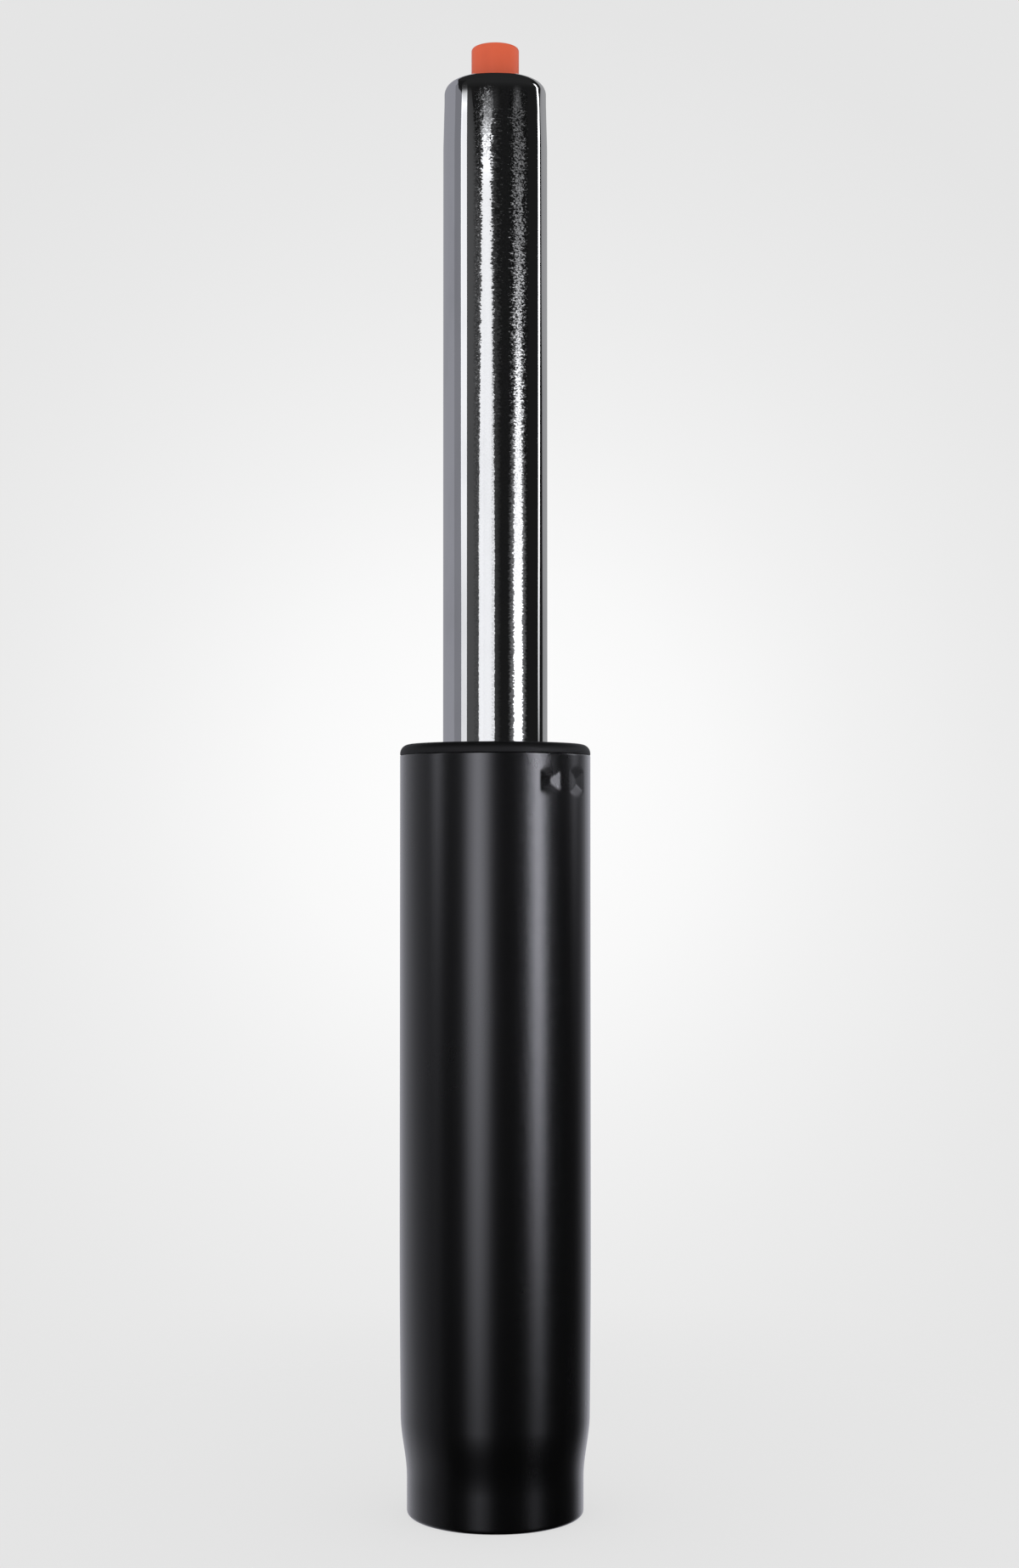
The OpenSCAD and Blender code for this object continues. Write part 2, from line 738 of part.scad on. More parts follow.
outer_tube();
guide_sleeve();
bottom_plate();
lower_race();
bearing_cage();
bearing_balls();
upper_race();
thrust_washer();
piston_rod();
rubber_bumper();
clip_washer();
retaining_clip();
piston();
piston_ring();
piston_washer();
piston_nut();
pressure_tube();
inner_tube();
tube_spacer();
rod_guide();
rod_seal();
seal_washer();
valve_body();
body_seals();
spigot_seal();
pin_seals();
seal_spacer();
valve_disc();
valve_pin();
release_button();
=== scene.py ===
"""A chair's gas lift cylinder on a pale floor, in studio light.

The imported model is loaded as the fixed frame. The four pieces that show most
(the stand tube, the collar on its rim, the chromed tube and the button) are
made again here with finer surfaces. The rest keep their shapes and get
finishes. Lengths are metres, and MM turns a size in millimetres into metres.
"""

import math

import bpy
import numpy as np
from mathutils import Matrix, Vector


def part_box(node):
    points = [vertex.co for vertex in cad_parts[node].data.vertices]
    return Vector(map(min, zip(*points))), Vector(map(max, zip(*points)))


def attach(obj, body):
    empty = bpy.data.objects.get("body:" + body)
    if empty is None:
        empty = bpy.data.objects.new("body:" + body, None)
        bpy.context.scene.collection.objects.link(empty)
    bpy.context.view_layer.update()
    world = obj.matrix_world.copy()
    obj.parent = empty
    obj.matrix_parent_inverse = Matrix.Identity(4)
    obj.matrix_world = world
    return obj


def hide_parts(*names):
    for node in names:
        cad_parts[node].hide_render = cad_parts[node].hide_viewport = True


MM = 0.001
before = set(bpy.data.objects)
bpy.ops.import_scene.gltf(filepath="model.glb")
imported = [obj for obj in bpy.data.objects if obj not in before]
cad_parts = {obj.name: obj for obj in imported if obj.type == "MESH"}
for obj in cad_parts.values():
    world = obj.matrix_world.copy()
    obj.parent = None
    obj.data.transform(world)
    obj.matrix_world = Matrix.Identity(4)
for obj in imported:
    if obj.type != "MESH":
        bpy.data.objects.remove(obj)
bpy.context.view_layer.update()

# Sizes in millimetres, as in the part's source: first the stand tube
TUBE_R = 25.5
TUBE_WALL = 2.0
RIM_EDGE_R = 0.3
FOOT_R = 23.5
FOOT_EDGE_R = 1.0
BAND_H = 9.4
NECK_H = 17.2
SWELL_R = 25.2
SWELL_H = 47.0
LIP_W = 3.5
LIP_T = 1.8
LIP_EDGE_R = 0.4

# The dimples: their turn from +X and their pitch are in degrees, and the punch
# reaches the tube where the cosine of the angle between is over DIMPLE_FACING
DIMPLE_W = 6.5
DIMPLE_H = 7.5
DIMPLE_DEPTH = 0.6
DIMPLE_RIDGE = 1.4
DIMPLE_CREASE = 0.05
DIMPLE_RIM = 0.14
DIMPLE_INNER_SHARE = 0.8
DIMPLE_DROP = 7.3
DIMPLE_FACING = 0.9
DIMPLE_TURN = -43.5
DIMPLE_PITCH = 23.0

# The guide sleeve, whose flange is the collar on the stand tube's rim
FLANGE_EDGE_R = 2.4
FLANGE_FOOT_R = 0.25
PLUG_H = 13.0
PLUG_STEP_H = 1.0
PLUG_STEP_EDGE_R = 0.2
PLUG_GAP = 0.1
DIMPLE_GAP = 0.4
SLEEVE_L = 87.0
SLEEVE_EDGE_R = 0.3
BARREL_WALL = 2.6
RING_H = 5.0
RING_EDGE_R = 0.4
RIB_COUNT = 8
RIB_T = 2.0
RIB_INSET = 0.6
RUN = 0.08

# The chromed tube
CYL_R = 14.0
CYL_WALL = 1.5
CYL_FOOT_EDGE_R = 1.0
CYL_LIP_W = 3.0
CYL_LIP_T = 1.5
CYL_LIP_EDGE_R = 0.3
CONE_H = 12.0
CONE_BLEND = 20.0
NOSE_R = 13.7
LAND_H = 2.6
SHOULDER_R = 3.2
INNER_SHOULDER_R = 1.8
TOP_T = 1.8
HOLE_EDGE_R = 0.35

# The release button
BUTTON_R = 6.4
BUTTON_GAP = 0.5
BUTTON_EDGE_R = 0.8
BUTTON_FOOT_R = 0.3
PIN_R = 2.4
PIN_IN_BUTTON = 9.0
PRESS_CLEARANCE = 0.05

# Roundings of corners that nobody sees
CORNER_R = 0.2
TINY_CORNER_R = 0.1

# Bodies of one piece run this far into each other
OVERLAP = 1.0
RIB_OVERLAP = 0.5

# How the stand tube is divided. Rows start ROWS_REACH of a dimple's height below
# its middle and end ROWS_STOP under the rim. Columns are in degrees, and the fine
# ones reach that far past the middle of each outer dimple. NO_SLIVER is the least
# turn between a coarse column and a fine one, in radians
ROW_STEP = 0.22
ROWS_REACH, ROWS_STOP = 0.65, 0.4
COARSE_STEP, FINE_STEP, FINE_REACH = 2.5, 0.5, 11.5
BAND_START = 0.5
NO_SLIVER = 0.01

# Edges that bend by more than this, in degrees, are shaded sharp
SHARP_ANGLE = 35


def node_z(node):
    """The lowest and highest level of a CAD node, in millimetres."""
    low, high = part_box(node)
    return low.z / MM, high.z / MM


TUBE_TOP = node_z("outer_tube")[1]
RIM_TOP = node_z("guide_sleeve")[1]
CYL_BOTTOM, CYL_TOP = node_z("pressure_tube")
BUTTON_Z, BUTTON_TOP = node_z("release_button")


def rounded(corners, steps=6):
    """Points of a polygon whose corners are rounded.

    Each corner is (r, z, radius). Where radius is above 0 the corner becomes an
    arc that touches both sides: it starts and ends radius / tan(half the
    corner's angle) from the corner, and its centre lies radius / sin(half the
    angle) along the bisector.
    """
    points = []
    for i, (r, z, radius) in enumerate(corners):
        here = np.array([r, z])
        if radius <= 0:
            points.append(here)
            continue
        back = np.array(corners[i - 1][:2]) - here
        on = np.array(corners[(i + 1) % len(corners)][:2]) - here
        back, on = back / np.linalg.norm(back), on / np.linalg.norm(on)
        half = math.acos(np.clip(back @ on, -1, 1)) / 2
        bisector = (back + on) / np.linalg.norm(back + on)
        centre = here + bisector * radius / math.sin(half)
        first = here + back * radius / math.tan(half) - centre
        last = here + on * radius / math.tan(half) - centre
        span = math.acos(np.clip(first @ last / radius**2, -1, 1))
        for t in np.linspace(0, 1, steps + 1):
            weights = np.sin((1 - t) * span), np.sin(t * span)
            points.append(centre + (first * weights[0] + last * weights[1]) / math.sin(span))
    return np.array(points)


def make_mesh(name, verts, faces):
    """A mesh object from vertices in millimetres and a list of index lists."""
    mesh = bpy.data.meshes.new(name)
    mesh.from_pydata((np.asarray(verts) * MM).tolist(), [], faces)
    mesh.validate()
    mesh.shade_smooth()
    mesh.set_sharp_from_angle(angle=math.radians(SHARP_ANGLE))
    obj = bpy.data.objects.new(name, mesh)
    bpy.context.scene.collection.objects.link(obj)
    return obj


def lathe(profile, angles, shift=None):
    """Vertices and faces of a profile turned round the Z axis.

    A point (r, z) of the profile goes to (r cos a, r sin a, z) at each angle a.
    A profile that starts and ends on the axis is open and its ends become
    poles; any other profile is a closed loop. shift, where given, is a function
    of the radius, angle and level of all points that returns their new radius.
    """
    profile = np.asarray(profile, float)
    area = np.sum(
        profile[:, 0] * np.roll(profile[:, 1], -1) - np.roll(profile[:, 0], -1) * profile[:, 1]
    )
    if area < 0:
        profile = profile[::-1]
    n, m = len(profile), len(angles)
    radius = np.repeat(profile[:, :1], m, axis=1)
    level = np.repeat(profile[:, 1:], m, axis=1)
    angle = np.repeat(np.asarray(angles)[None, :], n, axis=0)
    if shift is not None:
        radius = shift(radius, angle, level)
    verts = np.stack([radius * np.cos(angle), radius * np.sin(angle), level], axis=-1).reshape(-1, 3)
    on_axis = profile[:, 0] < 1e-9
    index = np.arange(n * m).reshape(n, m)
    index[on_axis] = index[on_axis][:, :1]
    upper = np.roll(index, -1, axis=0)
    quads = np.stack(
        [index, np.roll(index, -1, axis=1), np.roll(upper, -1, axis=1), upper], axis=-1
    )
    quads = quads[~(on_axis & np.roll(on_axis, -1))]
    faces = []
    for quad in quads.reshape(-1, 4).tolist():
        corners = list(dict.fromkeys(quad))
        if len(corners) > 2:
            faces.append(corners)
    used = np.unique(np.concatenate([np.array(f) for f in faces]))
    renumber = np.full(n * m, -1)
    renumber[used] = np.arange(len(used))
    return verts[used], [renumber[np.array(f)].tolist() for f in faces]


def joined(parts):
    """Several (vertices, faces) pairs as one."""
    verts, faces, start = [], [], 0
    for part_verts, part_faces in parts:
        verts.append(part_verts)
        faces += [[i + start for i in f] for f in part_faces]
        start += len(part_verts)
    return np.concatenate(verts), faces


def whole_turn(count):
    """Angles of a full turn in equal steps."""
    return np.linspace(0, 2 * math.pi, count, endpoint=False)


def dimple_directions():
    """The four dimples' directions from +X: a pair on each side of the tube."""
    return [
        math.radians(side + DIMPLE_TURN + step * DIMPLE_PITCH)
        for side in (0, 180)
        for step in (-0.5, 0.5)
    ]


def soft_least(a, b, reach):
    """The smaller of two values, rounded over where they differ by under reach."""
    near = np.clip(reach - np.abs(a - b), 0, None) / reach
    return np.minimum(a, b) - near * near * reach / 4


def pressed(radius, angle, level):
    """The stand tube's radius where the staking punch has pressed it in.

    In a dimple's own frame u runs across, v up and w out from the tube's axis.
    The punch has four flat sides and a short upright ridge, so that
    w = R - D + (D - sag) |u| / a on the left and right sides, and
    w = R - D + D (|v| - e) / (b - e) on the upper and lower ones, where a and b
    are half the dimple's width and height, e is half the ridge and sag is how
    far the round tube falls back at u = a. The bump inside is a smaller copy.
    """
    inner_wall = radius < TUBE_R - TUBE_WALL / 2
    size = np.where(inner_wall, DIMPLE_INNER_SHARE, 1.0)
    a, b, e = size * DIMPLE_W / 2, size * DIMPLE_H / 2, size * DIMPLE_RIDGE / 2
    sag = radius - np.sqrt(np.clip(radius**2 - a**2, 0, None))
    shaped = radius.copy()
    for direction in dimple_directions():
        turn = np.mod(angle - direction + math.pi, 2 * math.pi) - math.pi
        u = np.sqrt((radius * np.sin(turn))**2 + DIMPLE_CREASE**2)
        v = np.abs(level - (TUBE_TOP - DIMPLE_DROP))
        side = (DIMPLE_DEPTH - sag) * u / a
        end = DIMPLE_DEPTH * (v - e) / (b - e)
        w = radius - DIMPLE_DEPTH - soft_least(-side, -end, DIMPLE_CREASE)
        facing = np.cos(turn)
        close = facing > DIMPLE_FACING
        pit = np.where(close, w / np.where(close, facing, 1), radius + 1)
        shaped = np.minimum(shaped, soft_least(radius, pit, DIMPLE_RIM))
    return shaped


def stand_shell():
    """The stand tube: rolled lip, straight foot band, smooth neck, pressed dimples.

    Up the neck the radius is foot + (swell - foot) (1 - cos(pi t)) / 2, and
    above it is swell + (tube - swell) sin(pi s / 2). The inner wall follows the
    outer one, a wall's thickness further in. halfway only aims the corners.
    """
    inner = TUBE_R - TUBE_WALL
    inner_foot = FOOT_R - TUBE_WALL
    neck_top = BAND_H + NECK_H
    halfway = TUBE_TOP / 2
    t = np.linspace(0, 1, 28)
    neck_r = FOOT_R + (SWELL_R - FOOT_R) * (1 - np.cos(math.pi * t)) / 2
    s = np.linspace(0, 1, 9)[1:]
    swell_r = SWELL_R + (TUBE_R - SWELL_R) * np.sin(s * math.pi / 2)
    outside = np.concatenate([
        np.stack([neck_r, BAND_H + NECK_H * t], axis=1),
        np.stack([swell_r, neck_top + SWELL_H * s], axis=1)])
    rows = np.arange(
        TUBE_TOP - DIMPLE_DROP - DIMPLE_H * ROWS_REACH, TUBE_TOP - ROWS_STOP, ROW_STEP)
    half_rows = rows[::2]
    rim = rounded([
        (TUBE_R, halfway, 0), (TUBE_R, TUBE_TOP, RIM_EDGE_R), (inner, TUBE_TOP, RIM_EDGE_R),
        (inner, halfway, 0)], 4)[1:-1]
    foot = rounded([
        (inner_foot, halfway, 0), (inner_foot, LIP_T, 0), (inner_foot - LIP_W, LIP_T, LIP_EDGE_R),
        (inner_foot - LIP_W, 0, LIP_EDGE_R), (FOOT_R, 0, FOOT_EDGE_R), (FOOT_R, halfway, 0)], 6)[1:-1]
    # One more point just above the foot's edge keeps the band's shading straight
    foot = np.concatenate([foot, [[FOOT_R, FOOT_EDGE_R + BAND_START]]])
    profile = np.concatenate([
        foot, outside,
        np.stack([np.full(len(rows), TUBE_R), rows], axis=1), rim,
        np.stack([np.full(len(half_rows), inner), half_rows[::-1]], axis=1),
        outside[::-1] - [TUBE_WALL, 0],
    ])
    coarse = np.radians(np.arange(0, 360, COARSE_STEP))
    fine = []
    for side in (0, 180):
        low = math.radians(side + DIMPLE_TURN - DIMPLE_PITCH / 2 - FINE_REACH)
        high = math.radians(side + DIMPLE_TURN + DIMPLE_PITCH / 2 + FINE_REACH)
        fine.append(np.arange(low, high, math.radians(FINE_STEP)))
        gap = np.mod(coarse - low, 2 * math.pi)
        coarse = coarse[(gap > high - low + NO_SLIVER) & (gap < 2 * math.pi - NO_SLIVER)]
    angles = np.sort(np.mod(np.concatenate([coarse, *fine]), 2 * math.pi))
    obj = make_mesh("stand_shell", *lathe(profile, angles, pressed))
    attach(obj, "stand")
    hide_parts("outer_tube")
    return obj


def rim_collar():
    """The guide sleeve: a flange with a round upper edge, a plug that the
    dimples hold, a barrel round the chromed tube, two rings and long ribs.

    Each ring is a rounded rectangle turned round the axis. A rib is a bar of
    rectangular section, its ends inside the plug and the lower ring.
    """
    bore = CYL_R + RUN
    barrel = bore + BARREL_WALL
    ring = TUBE_R - TUBE_WALL - PLUG_GAP
    core = ring - DIMPLE_DEPTH - DIMPLE_GAP
    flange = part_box("guide_sleeve")[1].x / MM
    turn = whole_turn(160)
    low = TUBE_TOP - SLEEVE_L
    plug = TUBE_TOP - PLUG_H
    step = TUBE_TOP - PLUG_STEP_H
    middle = TUBE_TOP - (SLEEVE_L + PLUG_H) / 2
    parts = [lathe(rounded([
        (bore, plug, 0), (core, plug, SLEEVE_EDGE_R), (core, step, 0), (ring, step, PLUG_STEP_EDGE_R),
        (ring, TUBE_TOP, 0), (flange, TUBE_TOP, FLANGE_FOOT_R), (flange, RIM_TOP, FLANGE_EDGE_R),
        (bore, RIM_TOP, SLEEVE_EDGE_R)], 12), turn)]
    parts.append(lathe(rounded([
        (bore, low, SLEEVE_EDGE_R), (barrel, low, SLEEVE_EDGE_R), (barrel, plug + OVERLAP, 0),
        (bore, plug + OVERLAP, 0)], 4), turn))
    for z in (low, middle):
        parts.append(lathe(rounded([
            (barrel - OVERLAP, z, 0), (ring, z, RING_EDGE_R), (ring, z + RING_H, RING_EDGE_R),
            (barrel - OVERLAP, z + RING_H, 0)], 4), turn))
    for a in whole_turn(RIB_COUNT):
        out = np.array([math.cos(a), math.sin(a), 0])
        across = np.array([-math.sin(a), math.cos(a), 0]) * RIB_T / 2
        near, far = out * (barrel - RIB_OVERLAP), out * (ring - RIB_INSET)
        corners = [near - across, far - across, far + across, near + across]
        verts = [c + [0, 0, z] for z in (low + RIB_OVERLAP, plug + RIB_OVERLAP) for c in corners]
        parts.append((np.array(verts), [
            [3, 2, 1, 0], [4, 5, 6, 7], [0, 1, 5, 4], [1, 2, 6, 5], [2, 3, 7, 6], [3, 0, 4, 7]]))
    obj = make_mesh("rim_collar", *joined(parts))
    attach(obj, "stand")
    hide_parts("guide_sleeve")
    return obj


def chrome_tube():
    """The chromed tube: rolled lip below, plain wall, slim cone, straight land
    and a closed shoulder that is a quarter circle, with the button's hole.

    The profile is a closed loop with every corner rounded, turned round Z. Two
    more points near the wall's ends keep its shading straight between them.
    """
    land = CYL_TOP - SHOULDER_R - LAND_H
    hole = BUTTON_R + BUTTON_GAP
    inner = CYL_R - CYL_WALL
    cavity = CYL_TOP - TOP_T
    lip = inner - CYL_LIP_W
    lip_top = CYL_BOTTOM + CYL_LIP_T
    profile = rounded([
        (lip, CYL_BOTTOM, CYL_LIP_EDGE_R), (CYL_R, CYL_BOTTOM, CYL_FOOT_EDGE_R),
        (CYL_R, CYL_BOTTOM + 2 * CYL_FOOT_EDGE_R, 0), (CYL_R, land - CONE_H - CONE_BLEND, 0),
        (CYL_R, land - CONE_H, 0), (NOSE_R, land, 0), (NOSE_R, CYL_TOP, SHOULDER_R),
        (hole, CYL_TOP, HOLE_EDGE_R), (hole, cavity, TINY_CORNER_R), (inner, cavity, INNER_SHOULDER_R),
        (inner, lip_top, CORNER_R), (lip, lip_top, CYL_LIP_EDGE_R)], 20)
    obj = make_mesh("chrome_tube", *lathe(profile, whole_turn(192)))
    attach(obj, "cylinder")
    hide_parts("pressure_tube")
    return obj


def button_cap():
    """The release button: a cap with a rounded edge, and the pin's blind hole.

    The profile starts on the axis at the hole's end, goes down the hole, round
    the outside and back to the axis on top.
    """
    hole = PIN_R + PRESS_CLEARANCE
    hole_top = BUTTON_Z + PIN_IN_BUTTON
    ring = rounded([
        (0, hole_top, 0), (hole, hole_top, TINY_CORNER_R), (hole, BUTTON_Z, CORNER_R),
        (BUTTON_R, BUTTON_Z, BUTTON_FOOT_R), (BUTTON_R, BUTTON_TOP, BUTTON_EDGE_R),
        (0, BUTTON_TOP, 0)], 10)
    obj = make_mesh("button_cap", *lathe(ring, whole_turn(128)))
    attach(obj, "release")
    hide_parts("release_button")
    return obj


class Shader:
    """A node tree, with short calls to add and join its nodes."""

    FIRST_X, STEP_X, GROUP_Y = -1400, 190, -300

    def __init__(self, tree):
        self.tree = tree
        self.column = 0

    def add(self, kind, values=None, **settings):
        """A node of that kind with its settings and input values."""
        node = self.tree.nodes.new(kind)
        node.location = (self.FIRST_X + self.STEP_X * self.column, 0)
        self.column += 1
        for key, value in settings.items():
            setattr(node, key, value)
        for key, value in (values or {}).items():
            if isinstance(value, bpy.types.NodeSocket):
                self.tree.links.new(value, node.inputs[key])
            else:
                node.inputs[key].default_value = value
        return node

    def group(self, tree, **values):
        """A node group placed in this tree with its own input values."""
        node = self.tree.nodes.new("ShaderNodeGroup")
        node.node_tree = tree
        node.location = (self.FIRST_X + self.STEP_X * self.column, self.GROUP_Y)
        self.column += 1
        for key, value in values.items():
            name = key.replace("_", " ")
            if isinstance(value, bpy.types.NodeSocket):
                self.tree.links.new(value, node.inputs[name])
            else:
                node.inputs[name].default_value = value
        return node

    def maths(self, operation, a, b=0.0, c=0.0):
        """One step of arithmetic on sockets or numbers."""
        return self.add("ShaderNodeMath", {0: a, 1: b, 2: c}, operation=operation).outputs[0]

    def product(self, first, *others):
        """The product of several sockets or numbers."""
        for other in others:
            first = self.maths("MULTIPLY", first, other)
        return first

    def vector(self, operation, a, b=(0.0, 0.0, 0.0)):
        """One step of vector arithmetic."""
        return self.add("ShaderNodeVectorMath", {0: a, 1: b}, operation=operation).outputs[0]

    def spread(self, value, low, high, to_low, to_high):
        """A value from one range mapped smoothly onto another."""
        return self.add("ShaderNodeMapRange", {
            "Value": value, "From Min": low, "From Max": high, "To Min": to_low, "To Max": to_high,
        }, interpolation_type="SMOOTHSTEP").outputs["Result"]

    def blend(self, share, a, b):
        """Two colours mixed by a share."""
        node = self.add("ShaderNodeMix", data_type="RGBA")
        for socket, value in ((node.inputs[0], share), (node.inputs[6], a), (node.inputs[7], b)):
            if isinstance(value, bpy.types.NodeSocket):
                self.tree.links.new(value, socket)
            else:
                socket.default_value = value if isinstance(value, float) else (*value, 1.0)
        return node.outputs[2]

    def noise(self, place, scale, detail=3.0, roughness=0.5):
        """Even noise from 0 to 1 at that many features a metre."""
        return self.add("ShaderNodeTexNoise", {
            "Vector": place, "Scale": scale, "Detail": detail, "Roughness": roughness,
        }).outputs[0]

    def bump(self, height, distance):
        """A normal from a height map."""
        return self.add("ShaderNodeBump", {
            "Height": height, "Distance": distance, "Strength": 1.0,
        }).outputs[0]

    def place(self):
        """The shaded point in Object coordinates."""
        return self.add("ShaderNodeTexCoord").outputs["Object"]

    def split(self, vector):
        """The X, Y and Z of a vector."""
        return self.add("ShaderNodeSeparateXYZ", {"Vector": vector}).outputs

    def seen(self):
        """1 for what the camera, polished metal and clear parts see, else 0."""
        path = self.add("ShaderNodeLightPath").outputs
        return self.maths("MAXIMUM", path["Is Camera Ray"], self.maths(
            "MAXIMUM", path["Is Glossy Ray"], path["Is Transmission Ray"]))


def new_group(name, inputs, outputs):
    """An empty node group with its named inputs and outputs."""
    tree = bpy.data.node_groups.new(name, "ShaderNodeTree")
    for label, value in inputs.items():
        socket = tree.interface.new_socket(label, in_out="INPUT", socket_type="NodeSocketFloat")
        socket.default_value = value
    for label, kind in outputs.items():
        tree.interface.new_socket(label, in_out="OUTPUT", socket_type=kind)
    shader = Shader(tree)
    start = shader.add("NodeGroupInput")
    end = shader.add("NodeGroupOutput")
    return tree, shader, start.outputs, end.inputs


def grain_group():
    """Fine grain: two sizes of noise laid over each other, and slow patches."""
    tree, s, given, put = new_group(
        "fine_grain", {"Scale": 1500.0, "Patch Scale": 40.0},
        {"Grain": "NodeSocketFloat", "Patches": "NodeSocketFloat"})
    place = s.place()
    small = s.noise(place, given["Scale"], 4.0, 0.6)
    smaller = s.noise(place, s.product(given["Scale"], 2.7), 2.0)
    both = s.maths("ADD", s.product(small, 0.65), s.product(smaller, 0.35))
    tree.links.new(both, put["Grain"])
    tree.links.new(s.noise(place, given["Patch Scale"], 3.0), put["Patches"])
    return tree


def turning_group():
    """Fine rings left by a lathe: noise that changes with height and hardly
    with direction, and a second, coarser one for the feed marks."""
    tree, s, given, put = new_group(
        "turning_marks", {"Pitch": 4000.0, "Streak": 40.0}, {"Rings": "NodeSocketFloat"})
    place = s.place()
    parts = s.split(place)
    squeezed = s.add("ShaderNodeCombineXYZ", {
        "X": s.product(parts["X"], given["Streak"]),
        "Y": s.product(parts["Y"], given["Streak"]),
        "Z": s.product(parts["Z"], given["Pitch"]),
    }).outputs[0]
    fine = s.noise(squeezed, 1.0, 2.0)
    coarse = s.noise(squeezed, 0.22, 1.0)
    tree.links.new(s.maths("MULTIPLY_ADD", fine, 0.6, s.product(coarse, 0.4)), put["Rings"])
    return tree


def smudge_group():
    """Handling marks: a mask of soft smears and a mask of sparse small specks."""
    tree, s, given, put = new_group(
        "handling", {"Smear Scale": 60.0, "Speck Scale": 900.0, "Speck Share": 0.3},
        {"Smears": "NodeSocketFloat", "Specks": "NodeSocketFloat"})
    place = s.place()
    stretched = s.add("ShaderNodeMapping", {"Vector": place, "Scale": (1.0, 1.0, 0.35)}).outputs[0]
    smear = s.noise(stretched, given["Smear Scale"], 5.0, 0.62)
    tree.links.new(s.spread(smear, 0.48, 0.72, 0.0, 1.0), put["Smears"])
    speck = s.noise(place, given["Speck Scale"], 1.0)
    edge = s.maths("SUBTRACT", 1.0, s.product(given["Speck Share"], 0.4))
    top = s.maths("ADD", edge, 0.03)
    mask = s.add("ShaderNodeMapRange", {
        "Value": speck, "From Min": edge, "From Max": top, "To Min": 0.0, "To Max": 1.0}).outputs[0]
    tree.links.new(mask, put["Specks"])
    return tree


GRAIN = grain_group()
TURNING = turning_group()
HANDLING = smudge_group()


def new_material(name):
    """A node material with its Principled shader, and the helper for its tree."""
    mat = bpy.data.materials.new(name)
    mat.use_nodes = True
    shader = Shader(mat.node_tree)
    return mat, shader, mat.node_tree.nodes["Principled BSDF"]


def feed(shader, principled, **sockets):
    """Links sockets to, or sets numbers on, a Principled shader's inputs."""
    for key, value in sockets.items():
        name = key.replace("_", " ")
        if isinstance(value, bpy.types.NodeSocket):
            shader.tree.links.new(value, principled.inputs[name])
        elif isinstance(value, tuple):
            principled.inputs[name].default_value = (*value, 1.0)
        else:
            principled.inputs[name].default_value = value


# The collar's rounded top edge carries painted shade, darker from the first to the second of these
# depths under its top, in millimetres
TOP_SHADE_LOW, TOP_SHADE_HIGH = 1.9, 0.9

# The chrome's front in sectors of (from, to, softness), in degrees from the
# camera's side towards +X: where it is mottled, a clean and a faint sector in
# that, and where it is rippled
MOTTLED, RIPPLED = (-21.0, 36.0, 5.0), (-22.0, 40.0, 5.0)
CLEAN, FAINT = (-16.0, -5.0, 2.5), (0.0, 14.0, 3.0)
CLEAN_SHARE, FAINT_SHARE = 0.92, 0.6

# Heights in metres between which each effect comes up, or goes again
CLEAN_END = 0.356, 0.362
MOTTLE_START, MOTTLE_END = (0.22, 0.33), (0.3765, 0.379)
RIPPLE_START, RIPPLE_END = (0.26, 0.355), (0.371, 0.3745)

# The ripple's strength grows between these directions
RIPPLE_TURN = math.radians(-5), math.radians(12)
RIPPLE_WEAK, RIPPLE_STRONG = 0.19, 0.66


def satin_black_paint():
    """Stoved black paint on steel: near black, satin, with a slight skin and dust."""
    mat, s, bsdf = new_material("satin_black_paint")
    grain = s.group(GRAIN, Scale=900.0, Patch_Scale=28.0).outputs
    marks = s.group(HANDLING, Smear_Scale=45.0, Speck_Scale=1500.0, Speck_Share=0.42).outputs
    colour = s.blend(grain["Patches"], (0.0015, 0.0016, 0.0018), (0.0024, 0.0025, 0.0028))
    colour = s.blend(s.product(marks["Specks"], 0.3), colour, (0.018, 0.018, 0.019))
    rough = s.maths("MULTIPLY_ADD", grain["Patches"], 0.03, 0.245)
    rough = s.maths("MULTIPLY_ADD", marks["Smears"], 0.02, rough)
    feed(s, bsdf, Base_Color=colour, Roughness=rough, Normal=s.bump(grain["Grain"], 4e-6),
         Coat_Weight=1.0, Coat_Roughness=0.245, Coat_IOR=1.5, IOR=1.5)
    return mat


def matte_black_plastic():
    """Moulded nylon with a spark-eroded skin, and painted shade on the rim's rounded top edge."""
    mat, s, bsdf = new_material("matte_black_plastic")
    grain = s.group(GRAIN, Scale=2200.0, Patch_Scale=60.0).outputs
    colour = s.blend(grain["Patches"], (0.0075, 0.0075, 0.0085), (0.011, 0.011, 0.012))
    height = s.split(s.place())["Z"]
    # Painted shade: the rounded top edge is made darker, standing in for the little light that falls on
    # it from above
    top_shade = s.spread(height, (RIM_TOP - TOP_SHADE_LOW) * MM, (RIM_TOP - TOP_SHADE_HIGH) * MM, 0.0, 0.75)
    colour = s.blend(top_shade, colour, (0.002, 0.002, 0.0022))
    rough = s.maths("MULTIPLY_ADD", grain["Grain"], 0.16, 0.46)
    feed(s, bsdf, Base_Color=colour, Roughness=rough, Specular_IOR_Level=0.24,
         Normal=s.bump(grain["Grain"], 2e-5))
    return mat


